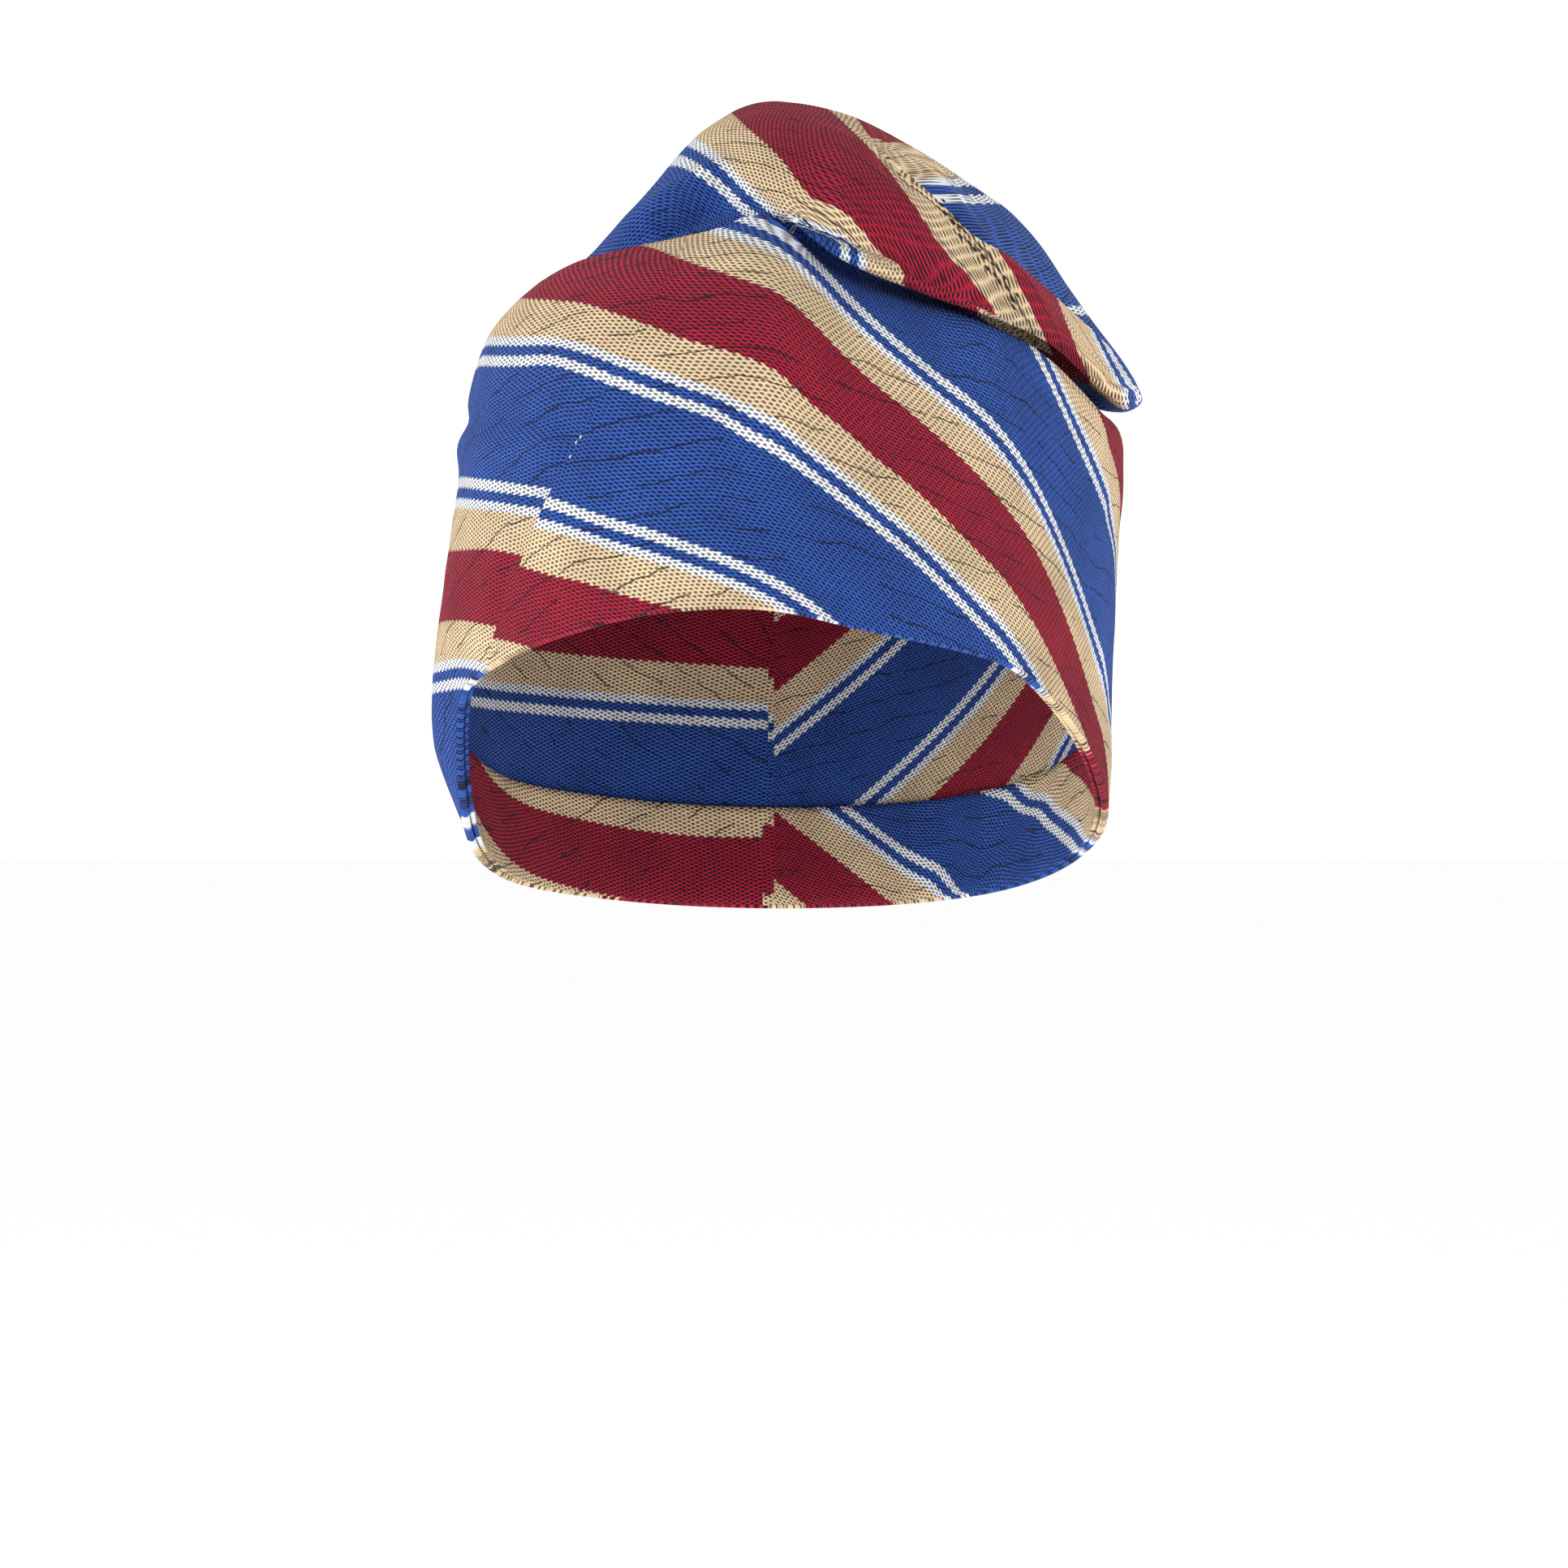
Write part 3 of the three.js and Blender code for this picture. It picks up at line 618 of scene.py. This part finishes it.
@functools.cache
def lay_cloth():
    """The shaped cloth: its points and outward directions, and every place on it that the pattern needs."""
    azimuths = column_azimuths()
    base = cloth_surface(azimuths)
    points = add_creases(base, surface_normals(base))
    out = surface_normals(points)
    rows = points.shape[1]
    crease = row_of(CREASE_STATION)
    wall_place = wall_stripes(points, azimuths)
    fold_place, back_place, before, turn = fold_stripes(points, azimuths)
    ones = np.ones(wall_place.shape)

    def threads(place, turn, part, before_rows, after_rows, crosswise=False):
        t = thread_places(points[:, part], out[:, part], place[:, part], turn[:, part], crosswise)
        ends = np.repeat(t[:, :1], before_rows, axis=1), np.repeat(t[:, -1:], after_rows, axis=1)
        return np.concatenate([ends[0], t, ends[1]], axis=1)

    on_fold = (slice(crease, -1), crease, 1)
    wall_along = threads(wall_place, ones, slice(0, crease + 1), 0, rows - crease - 1)
    fold_along = threads(fold_place, turn, *on_fold)
    back_along = threads(back_place, ones, *on_fold)
    fold_rows = threads(fold_place, turn, *on_fold, crosswise=True)
    back_rows = threads(back_place, ones, *on_fold, crosswise=True)
    x, z = front_view(points)
    _, dart_share, dart_side = along_line(DART_LINE, x, z)
    shift = np.interp(dart_share, np.linspace(0, 1, len(DART_SHIFT)), DART_SHIFT)
    past = (points[..., 1] > -20) & (x < 0)
    dart_side = np.where(past, -40, np.where(points[..., 1] > 0, FAR_OFF, dart_side))
    maps = {
        "wall": (wall_place, wall_place), "wall_along": (wall_along, wall_along),
        "fold": (fold_place, fold_rows), "fold_along": (fold_along, back_along),
        "behind": (back_place, back_rows), "before": (before, 0 * before), "dart": (dart_side, shift),
    }
    return {"points": points, "out": out, **{name: np.stack(pair, axis=-1) for name, pair in maps.items()}}


# --- Meshes ---------------------------------------------------------------------------------------


def grid_faces(columns, rows, offset=0, flip=False):
    """Quads of a grid whose points run column by column."""
    i, j = np.meshgrid(np.arange(columns - 1), np.arange(rows - 1), indexing="ij")
    a = (i * rows + j).ravel() + offset
    quads = np.stack([a, a + rows, a + rows + 1, a + 1], axis=1)
    return quads[:, ::-1] if flip else quads


def smooth_object(name, mesh, material):
    """A new object in the scene for a mesh, smooth and in one material."""
    mesh.materials.append(material)
    mesh.shade_smooth()
    obj = bpy.data.objects.new(name, mesh)
    bpy.context.scene.collection.objects.link(obj)
    return obj


def cloth_object(name, points, faces, corner_maps, material):
    """A closed piece of cloth from points in millimetres, quads and UV maps given at each face's corners."""
    mesh = bpy.data.meshes.new(name)
    mesh.from_pydata((points * MM).tolist(), [], faces.tolist())
    for map_name, values in corner_maps.items():
        layer = mesh.uv_layers.new(name=map_name)
        layer.data.foreach_set("uv", np.ascontiguousarray(values, dtype=np.float32).ravel())
    bm = bmesh.new()
    bm.from_mesh(mesh)
    bmesh.ops.remove_doubles(bm, verts=bm.verts, dist=0.00002)
    bmesh.ops.dissolve_degenerate(bm, dist=0.000001, edges=bm.edges)
    bmesh.ops.recalc_face_normals(bm, faces=bm.faces)
    bm.to_mesh(mesh)
    bm.free()
    return smooth_object(name, mesh, material)


def build_cap(cloth, material, wall_mm):
    """The whole bag of cloth, outside and inside, in one piece with its rim rounded over the hem."""
    points, out = cloth["points"], cloth["out"]
    columns, rows = points.shape[:2]
    crease = row_of(CREASE_STATION)
    inner_rows = list(range(0, crease - 8, 6)) + list(range(crease - 8, crease + 20, 2))
    inner_rows = sorted({*inner_rows, *range(crease + 20, rows - 1, 6), rows - 1})
    along = points[:, 0] - points[:, 1]
    along /= np.linalg.norm(along, axis=-1, keepdims=True)
    rim = np.stack([points[:, 0] - out[:, 0] * wall_mm * u + along * bulge for u, bulge in RIM_STEPS], axis=1)
    inner = (points - out * wall_mm)[:, inner_rows]
    vertices = np.concatenate([points.reshape(-1, 3), rim.reshape(-1, 3), inner.reshape(-1, 3)])
    rim_count = len(RIM_STEPS)
    rim_base = columns * rows
    inner_base = rim_base + columns * rim_count
    i = np.arange(columns - 1)
    chain = [i * rows, *(rim_base + i * rim_count + k for k in range(rim_count))]
    chain.append(inner_base + i * len(inner_rows))
    stride = [rows] + [rim_count] * rim_count + [len(inner_rows)]
    rim_faces = [
        np.stack([chain[k], chain[k + 1], chain[k + 1] + stride[k + 1], chain[k] + stride[k]], axis=1)
        for k in range(len(chain) - 1)
    ]
    inner_faces = grid_faces(columns, len(inner_rows), inner_base, flip=True)
    faces = np.concatenate([grid_faces(columns, rows), *rim_faces, inner_faces])
    row_number = np.concatenate([
        np.tile(np.arange(rows), columns), np.zeros(columns * rim_count, int), np.tile(inner_rows, columns),
    ])
    on_fold = (row_number[faces].min(axis=1) >= crease)[:, None, None]

    def at_vertices(values):
        parts = (values, np.repeat(values[:, :1], rim_count, axis=1), values[:, inner_rows])
        return np.concatenate([part.reshape(-1, 2) for part in parts])

    def spread_maps(wall_values, fold_values):
        return np.where(on_fold, at_vertices(fold_values)[faces], at_vertices(wall_values)[faces])

    far_off = np.full_like(cloth["dart"], FAR_OFF)
    maps = {
        "cloth": spread_maps(cloth["wall"], cloth["fold"]),
        "behind": spread_maps(cloth["wall"], cloth["behind"]),
        "threads": spread_maps(cloth["wall_along"], cloth["fold_along"]),
        "before": spread_maps(far_off, cloth["before"]),
        "dart": spread_maps(cloth["dart"], far_off),
    }
    return cloth_object("cap_cloth", vertices, faces, maps, material)


def build_facing(cloth, material, wall_mm, gap_mm, cloth_mm, turn_mm):
    """The cloth turned in at the hem, with its stripes turned back with it."""
    last = len(cloth["points"]) - 1
    chosen = list(range(0, last, 2)) + [last]
    points = cloth["points"][chosen]
    lengths = np.zeros(points.shape[:2])
    lengths[:, 1:] = np.cumsum(np.linalg.norm(np.diff(points, axis=1), axis=-1), axis=1)
    steps = np.linspace(0, turn_mm, FACING_ROWS)

    def at_steps(name):
        values = cloth[name][chosen]
        return np.array([
            np.stack([np.interp(steps, lengths[i], values[i, :, k]) for k in range(values.shape[-1])], axis=1)
            for i in range(len(points))
        ])

    def turned_in(name):
        return 2 * cloth[name][chosen, :1] - at_steps(name)

    inward = at_steps("out")
    face = at_steps("points") - inward * (wall_mm + gap_mm)
    back = face - inward * cloth_mm
    loop = np.concatenate([face, back[:, ::-1], face[:, :1]], axis=1)
    faces = grid_faces(*loop.shape[:2])

    def around(values):
        return np.concatenate([values, values[:, ::-1], values[:, :1]], axis=1).reshape(-1, 2)[faces]

    stripes = turned_in("wall")
    maps = {
        "cloth": around(stripes), "behind": around(stripes), "threads": around(turned_in("wall_along")),
        "before": around(np.full_like(stripes, FAR_OFF)), "dart": around(at_steps("dart")),
    }
    return cloth_object("hem_turn", loop.reshape(-1, 3), faces, maps, material)


def build_stitches(name, cloth, marks, size, material):
    """Short stitches on the cloth at marks (x, z) seen from the brow side, each on the way to the next."""
    points, out = cloth["points"], cloth["out"]
    x, z = front_view(points)
    hidden = 100 * (out[..., 1] > -0.05) + 100 * (points[..., 1] > 0)
    bm = bmesh.new()
    for k, mark in enumerate(marks):
        last = k + 1 == len(marks)
        ahead = (2 * mark[0] - marks[k - 1][0], 2 * mark[1] - marks[k - 1][1]) if last else marks[k + 1]
        distance = np.hypot(x - mark[0], z - mark[1]) + hidden
        i, j = np.unravel_index(int(np.argmin(distance)), distance.shape)
        up = Vector(out[i, j])
        way = Vector((ahead[0] - mark[0], 0, ahead[1] - mark[1]))
        way = (way - up * way.dot(up)).normalized()
        turn = Matrix((way, up.cross(way), up)).transposed().to_4x4()
        place = Matrix.Translation((Vector(points[i, j]) + up * size[2] * 0.3) * MM)
        scale = Matrix.Diagonal((*[length / 2 * MM for length in size], 1))
        bmesh.ops.create_uvsphere(bm, u_segments=10, v_segments=7, radius=1, matrix=place @ turn @ scale)
    mesh = bpy.data.meshes.new(name)
    bm.to_mesh(mesh)
    bm.free()
    return smooth_object(name, mesh, material)


def spaced(line, pitch, aside=0.0):
    """Points along a line at an even pitch, set a little aside from it."""
    line = np.asarray(line, float)
    steps = np.linalg.norm(np.diff(line, axis=0), axis=1)
    total = np.concatenate([[0], np.cumsum(steps)])
    at = np.arange(pitch / 2, total[-1], pitch)
    spots = np.stack([np.interp(at, total, line[:, 0]), np.interp(at, total, line[:, 1])], axis=1)
    way = np.gradient(spots, axis=0)
    way /= np.linalg.norm(way, axis=1, keepdims=True)
    return [tuple(spot + aside * np.array((w[1], -w[0]))) for spot, w in zip(spots, way)]


# --- Materials ------------------------------------------------------------------------------------


class Nodes:
    """Short ways to lay nodes in one tree."""

    def __init__(self, tree):
        self.tree = tree

    def add(self, kind, inputs=None, **settings):
        node = self.tree.nodes.new(kind)
        for key, value in settings.items():
            setattr(node, key, value)
        for key, value in (inputs or {}).items():
            self.feed(node.inputs[key], value)
        return node

    def feed(self, socket, value):
        if isinstance(value, bpy.types.NodeSocket):
            self.tree.links.new(value, socket)
        else:
            socket.default_value = value

    def math(self, operation, *values):
        node = self.add("ShaderNodeMath", operation=operation)
        for socket, value in zip(node.inputs, values):
            self.feed(socket, value)
        return node.outputs[0]

    def product(self, *values):
        result = values[0]
        for value in values[1:]:
            result = self.math("MULTIPLY", result, value)
        return result

    def mix(self, share, a, b, blend_type="MIX"):
        node = self.add("ShaderNodeMix", data_type="RGBA", blend_type=blend_type)
        for index, value in ((0, share), (6, a), (7, b)):
            self.feed(node.inputs[index], value)
        return node.outputs[2]

    def chosen(self, share, a, b, data_type="FLOAT"):
        """One of two values, or of two vectors."""
        node = self.add("ShaderNodeMix", data_type=data_type)
        first, result = (4, 1) if data_type == "VECTOR" else (2, 0)
        for index, value in ((0, share), (first, a), (first + 1, b)):
            self.feed(node.inputs[index], value)
        return node.outputs[result]

    def ranged(self, value, low, high, out_low=0.0, out_high=1.0):
        limits = {"From Min": low, "From Max": high, "To Min": out_low, "To Max": out_high}
        return self.add("ShaderNodeMapRange", {"Value": value, **limits}).outputs[0]

    def noise(self, place, scale, detail, **more):
        inputs = {"Vector": place, "Scale": scale, "Detail": detail, **more}
        return self.add("ShaderNodeTexNoise", inputs).outputs[0]

    def vector(self, x, y, z=0.0):
        return self.add("ShaderNodeCombineXYZ", {"X": x, "Y": y, "Z": z}).outputs[0]

    def grey(self, value):
        return self.add("ShaderNodeCombineColor", {"Red": value, "Green": value, "Blue": value}).outputs[0]

    def uv(self, name):
        return self.add("ShaderNodeUVMap", uv_map=name).outputs[0]

    def parts(self, vector):
        return self.add("ShaderNodeSeparateXYZ", {"Vector": vector}).outputs


def new_group(name, inputs, outputs):
    """An empty shader group with its sockets."""
    tree = bpy.data.node_groups.new(name, "ShaderNodeTree")
    for label in inputs:
        tree.interface.new_socket(label, in_out="INPUT", socket_type="NodeSocketFloat")
    for label, kind in outputs.items():
        tree.interface.new_socket(label, in_out="OUTPUT", socket_type="NodeSocket" + kind)
    nodes = Nodes(tree)
    return tree, nodes, nodes.add("NodeGroupInput").outputs, nodes.add("NodeGroupOutput").inputs


def stripes_group(colors):
    """Thread colours of the striped warp from the place across the cloth."""
    outputs = {"Color": "Color", "Beige": "Float", "White": "Float"}
    tree, n, given, result = new_group("Stripes", ["Place"], outputs)
    share = n.math("FRACT", n.math("DIVIDE", n.math("ADD", given["Place"], 40 * REPEAT), REPEAT))

    def ramp(tones):
        node = n.add("ShaderNodeValToRGB", {"Fac": share})
        node.color_ramp.interpolation = "CONSTANT"
        at = 0.0
        for k, (tone, width) in enumerate(STRIPES):
            stops = node.color_ramp.elements
            stop = stops[0] if k == 0 else stops.new(at / REPEAT)
            stop.position = at / REPEAT
            stop.color = (*tones.get(tone, (0, 0, 0)), 1)
            at += width
        node.color_ramp.elements.remove(node.color_ramp.elements[len(STRIPES)])
        return node.outputs["Color"]

    n.feed(result["Color"], ramp(colors))
    n.feed(result["Beige"], ramp({"beige": (1, 1, 1)}))
    n.feed(result["White"], ramp({"white": (1, 1, 1)}))
    return tree


def weave_group():
    """The beads of the weave: their height, and the dark weft that shows between them."""
    outputs = {"Height": "Float", "Gap": "Float"}
    tree, n, given, result = new_group("Weave", ["Across", "Along", "Open"], outputs)
    place = n.vector(given["Across"], given["Along"])
    drift = n.math("MULTIPLY", n.math("SUBTRACT", n.noise(place, 0.35, 2.0), 0.5), 0.5)

    def wave(way, length):
        return n.math("COSINE", n.math("MULTIPLY", n.math("ADD", given[way], drift), 2 * math.pi / length))

    lattice = n.math("MULTIPLY", wave("Across", BEAD_WIDTH), wave("Along", BEAD_LENGTH))
    uneven = n.math("MULTIPLY", n.math("SUBTRACT", n.noise(place, 1.3, 3.0), 0.5), 1.2)
    n.feed(result["Height"], n.math("ADD", n.math("MULTIPLY", lattice, 0.5), 0.5))
    level = n.math("SUBTRACT", n.math("ADD", lattice, uneven), given["Open"])
    n.feed(result["Gap"], n.ranged(level, 0.1, -0.6))
    return tree


def lines_group():
    """Thin dark weft lines that wander slantwise over the cloth, with breaks."""
    inputs = ["Across", "Along", "Spacing", "Width"]
    tree, n, given, result = new_group("Dark lines", inputs, {"Line": "Float"})
    across, along = given["Across"], given["Along"]
    turn = math.radians(LINE_SLANT)
    slant = n.math("ADD", n.product(across, math.cos(turn)), n.product(along, math.sin(turn)))
    wander = n.noise(n.vector(across, along), 0.045, 4.0, Roughness=0.55)
    bend = n.math("MULTIPLY", n.math("SUBTRACT", wander, 0.5), 10.0)
    phase = n.math("DIVIDE", n.math("ADD", n.math("ADD", slant, bend), ABOVE_ZERO), given["Spacing"])
    middle = n.math("ABSOLUTE", n.math("SUBTRACT", n.math("FRACT", phase), 0.5))
    thin = n.math("LESS_THAN", n.math("MULTIPLY", middle, given["Spacing"]), given["Width"])
    breaks = n.math("GREATER_THAN", n.noise(n.vector(along, across, 5.0), 0.07, 2.0), 0.45)
    n.feed(result["Line"], n.math("MULTIPLY", thin, breaks))
    return tree


def new_material(name):
    """An empty material, its nodes and its shader."""
    material = bpy.data.materials.new(name)
    material.use_nodes = True
    material.node_tree.nodes.clear()
    n = Nodes(material.node_tree)
    surface = n.add("ShaderNodeBsdfPrincipled")
    n.add("ShaderNodeOutputMaterial", {"Surface": surface.outputs[0]})
    return material, n, surface


def cloth_material(name, colors, sheen, roughness, bump):
    """Striped handwoven cloth."""
    material, n, surface = new_material(name)
    in_front = n.math("GREATER_THAN", n.parts(n.uv("before"))[0], 0.0)
    cloth = n.parts(n.chosen(in_front, n.uv("behind"), n.uv("cloth"), "VECTOR"))
    threads = n.parts(n.uv("threads"))
    upright = n.chosen(in_front, threads[1], threads[0])
    dart = n.parts(n.uv("dart"))
    left_of_dart = n.product(n.math("LESS_THAN", dart[0], 0.0), n.math("GREATER_THAN", dart[0], -60.0))
    shift = n.math("MULTIPLY", left_of_dart, dart[1])
    across = n.math("SUBTRACT", cloth[0], shift)
    woven = n.math("SUBTRACT", cloth[1], shift)
    along = n.math("ADD", upright, n.math("MULTIPLY", left_of_dart, 1.3))

    bead = n.math("FRACT", n.math("DIVIDE", n.math("ADD", along, ABOVE_ZERO), BEAD_LENGTH))
    step = n.math("MULTIPLY", n.math("SUBTRACT", n.math("GREATER_THAN", bead, 0.5), 0.5), STRIPE_TEETH)
    stripes = n.add("ShaderNodeGroup", node_tree=stripes_group(colors))
    n.feed(stripes.inputs["Place"], n.math("ADD", across, step))
    thread, white = stripes.outputs["Color"], stripes.outputs["White"]
    light = n.math("ADD", stripes.outputs["Beige"], white)
    weave = n.add("ShaderNodeGroup", node_tree=weave_group())
    lines = n.add("ShaderNodeGroup", node_tree=lines_group())
    weave_inputs = {"Across": woven, "Along": along, "Open": n.ranged(light, 0, 1, 0.0, -0.15)}
    line_inputs = {"Across": woven, "Along": along, "Spacing": LINE_SPACING, "Width": LINE_WIDTH}
    for group, inputs in ((weave, weave_inputs), (lines, line_inputs)):
        for key, value in inputs.items():
            n.feed(group.inputs[key], value)

    fleck_place = n.vector(n.math("MULTIPLY", across, 1.6), n.math("MULTIPLY", along, 0.45))
    dark = n.ranged(n.noise(fleck_place, 0.9, 4.0, Roughness=0.65), 0.56, 0.68)
    solid = n.math("SUBTRACT", 1.0, stripes.outputs["Beige"])
    flecks = n.product(dark, solid, n.math("SUBTRACT", 1.0, white), 0.6)
    lightness = n.ranged(n.noise(n.vector(across, along), 0.06, 3.0), 0.3, 0.7, 0.86, 1.14)
    tinted = n.mix(1.0, thread, n.grey(lightness), "MULTIPLY")
    # Painted shade and painted highlight on the beads: the thread's colour is darkened towards the hollows
    # between them and lightened on their crests, following their height, and less so on the light stripes
    painted_shade_in_hollows, painted_highlight_on_crests = n.ranged(light, 0, 1, 0.45, 0.72), n.ranged(light, 0, 1, 1.75, 1.24)
    painted_bead_shading = n.ranged(weave.outputs["Height"], 0, 1, painted_shade_in_hollows, painted_highlight_on_crests)
    gap = n.math("MULTIPLY", weave.outputs["Gap"], n.ranged(light, 0, 1, 0.9, 0.85))
    shown = n.mix(gap, n.mix(1.0, tinted, n.grey(painted_bead_shading), "MULTIPLY"), WEFT)
    shown = n.mix(n.math("MULTIPLY", lines.outputs[0], n.ranged(white, 0, 1, 0.8, 0.0)), shown, WEFT)
    raised = {"Strength": bump, "Distance": RELIEF, "Height": weave.outputs["Height"]}
    relief = n.add("ShaderNodeBump", raised)
    values = {
        "Base Color": n.mix(flecks, shown, WEFT), "Roughness": roughness, "Normal": relief.outputs[0],
        "Sheen Weight": sheen, "Sheen Roughness": 0.45, "Specular IOR Level": 0.12,
    }
    for key, value in values.items():
        n.feed(surface.inputs[key], value)
    return material


def plain_material(name, color, roughness, glow=0.0):
    """A plain matte material with a faint unevenness, and a light of its own where that is asked for."""
    material, n, surface = new_material(name)
    grain = n.noise(n.add("ShaderNodeTexCoord").outputs["Object"], 900.0, 2.0)
    n.feed(surface.inputs["Base Color"], n.mix(grain, (*[c * 0.96 for c in color], 1), (*color, 1)))
    surface.inputs["Roughness"].default_value = roughness
    if glow:
        surface.inputs["Emission Color"].default_value = (1, 1, 1, 1)
        surface.inputs["Emission Strength"].default_value = glow
    return material


# --- The add-on -----------------------------------------------------------------------------------


class TurbanSettings(bpy.types.PropertyGroup):
    wall: FloatProperty(
        name="Wall", description="Thickness of the cloth",
        default=0.002, min=0, subtype="DISTANCE",
    )
    gap: FloatProperty(
        name="Gap", description="Clearance behind the turned hem",
        default=0.0003, min=0, subtype="DISTANCE",
    )
    hem_cloth: FloatProperty(
        name="Hem cloth", description="Thickness of the turned layer",
        default=0.0011, min=0, subtype="DISTANCE",
    )
    hem_turn: FloatProperty(
        name="Hem turn", description="How far the hem reaches up inside",
        default=0.026, min=0, subtype="DISTANCE",
    )
    sheen: FloatProperty(
        name="Sheen", description="Soft light along the cloth's edges",
        default=0.03, min=0, max=1, subtype="FACTOR",
    )
    roughness: FloatProperty(
        name="Roughness", description="Roughness of the thread",
        default=0.8, min=0, max=1, subtype="FACTOR",
    )
    bump: FloatProperty(
        name="Bump", description="Strength of the weave's relief",
        default=1.0, min=0, max=1, subtype="FACTOR",
    )
    blue: FloatVectorProperty(
        name="Blue", description="Blue thread", default=(0.025, 0.085, 0.37), subtype="COLOR",
    )
    red: FloatVectorProperty(
        name="Red", description="Red thread", default=(0.33, 0.012, 0.033), subtype="COLOR",
    )
    beige: FloatVectorProperty(
        name="Beige", description="Sand-coloured thread", default=(0.80, 0.60, 0.37), subtype="COLOR",
    )
    white: FloatVectorProperty(
        name="White", description="White thread", default=(0.84, 0.87, 0.92), subtype="COLOR",
    )


class TURBAN_OT_cloth(bpy.types.Operator):
    """Builds the bag of striped cloth and the cloth turned in at its hem"""

    bl_idname = "turban.cloth"
    bl_label = "Build cloth"

    def execute(self, context):
        s = context.scene.turban
        colors = {tone: tuple(getattr(s, tone)) for tone in ("blue", "red", "beige", "white")}
        material = cloth_material("striped_cloth", colors, s.sheen, s.roughness, s.bump)
        cloth = lay_cloth()
        wall, gap, hem_cloth, hem_turn = (size / MM for size in (s.wall, s.gap, s.hem_cloth, s.hem_turn))
        cap = build_cap(cloth, material, wall)
        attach(cap, "root")
        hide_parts("crown_wall", "top_fold")
        facing = build_facing(cloth, material, wall, gap, hem_cloth, hem_turn)
        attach(facing, "root")
        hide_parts("hem_facing")
        return {"FINISHED"}


class TURBAN_OT_stitches(bpy.types.Operator):
    """Sews the closing seam and the end of the dart"""

    bl_idname = "turban.stitches"
    bl_label = "Build stitches"

    def execute(self, context):
        seam = [(px * BAND_WIDTH, pz * CAP_HEIGHT) for px, pz in CREASES[0][-1]][SEAM_START:]
        black = plain_material("black_thread", BLACK_THREAD, 0.8)
        white = plain_material("white_thread", WHITE_THREAD, 0.8)
        rows = {
            "seam_stitches": (spaced(seam, SEAM_PITCH, -0.5), (1.9, 0.6, 0.5), black),
            "seam_stitches_beside": (spaced(seam, SEAM_PITCH, -1.5)[::2], (1.4, 0.5, 0.4), black),
            "dart_stitches": (DART_STITCHES, (1.0, 0.45, 0.45), white),
        }
        for name, row in rows.items():
            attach(build_stitches(name, lay_cloth(), *row), "root")
        return {"FINISHED"}


class TURBAN_OT_stage(bpy.types.Operator):
    """Adds the floor, the lights and the camera"""

    bl_idname = "turban.stage"
    bl_label = "Build stage"

    def execute(self, context):
        scene = context.scene
        scene.view_settings.view_transform = "Standard"
        bpy.ops.mesh.primitive_plane_add(size=FLOOR_SIZE, location=(0, 0, FLOOR_LEVEL))
        floor = context.object
        floor.name = "floor"
        floor.data.materials.append(plain_material("floor_paint", FLOOR_PAINT, 0.9, FLOOR_GLOW))
        world = bpy.data.worlds.new("studio")
        scene.world = world
        world.use_nodes = True
        n = Nodes(world.node_tree)
        way = n.parts(n.add("ShaderNodeTexCoord").outputs["Generated"])
        strength = n.math("MULTIPLY", n.ranged(way["Z"], *LIGHT_ABOVE), n.ranged(way["Y"], *LIGHT_AHEAD))
        background = world.node_tree.nodes["Background"].inputs
        n.feed(background["Strength"], strength)
        background["Color"].default_value = (1, 1, 1, 1)
        for name, place, power in LIGHTS:
            bpy.ops.object.light_add(type="AREA", location=place)
            light = context.object
            light.name = name
            light.data.size = LIGHT_SIZE
            light.data.energy = power
            light.rotation_euler = (Vector(LIGHT_AIM) - Vector(place)).to_track_quat("-Z", "Y").to_euler()
        seat = (VIEW_OFFSET * MM, -VIEW_DISTANCE * MM, 0)
        bpy.ops.object.camera_add(location=seat, rotation=(math.pi / 2, 0, 0))
        camera = context.object
        camera.data.sensor_width = SENSOR_WIDTH
        camera.data.lens = SENSOR_WIDTH * PIXELS_PER_MM * VIEW_DISTANCE / IMAGE_WIDTH
        scene.camera = camera
        return {"FINISHED"}


class TURBAN_PT_panel(bpy.types.Panel):
    bl_label = "Turban Hat"
    bl_idname = "TURBAN_PT_panel"
    bl_space_type = "VIEW_3D"
    bl_region_type = "UI"
    bl_category = "Turban Hat"

    def draw(self, context):
        for name in TurbanSettings.__annotations__:
            self.layout.prop(context.scene.turban, name)
        for operator in OPERATORS:
            self.layout.operator(operator.bl_idname)


OPERATORS = (TURBAN_OT_cloth, TURBAN_OT_stitches, TURBAN_OT_stage)
CLASSES = (TurbanSettings, *OPERATORS, TURBAN_PT_panel)


def register():
    for cls in CLASSES:
        bpy.utils.register_class(cls)
    bpy.types.Scene.turban = PointerProperty(type=TurbanSettings)


def unregister():
    del bpy.types.Scene.turban
    for cls in reversed(CLASSES):
        bpy.utils.unregister_class(cls)


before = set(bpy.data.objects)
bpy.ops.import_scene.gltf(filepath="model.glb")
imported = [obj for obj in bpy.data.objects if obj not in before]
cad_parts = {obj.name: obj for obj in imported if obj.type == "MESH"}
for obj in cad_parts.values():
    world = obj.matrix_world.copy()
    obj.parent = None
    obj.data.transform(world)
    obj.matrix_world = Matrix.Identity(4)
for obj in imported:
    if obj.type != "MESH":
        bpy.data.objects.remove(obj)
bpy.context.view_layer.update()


def main():
    register()
    bpy.ops.turban.cloth()
    bpy.ops.turban.stitches()
    bpy.ops.turban.stage()


if __name__ == "__main__":
    main()
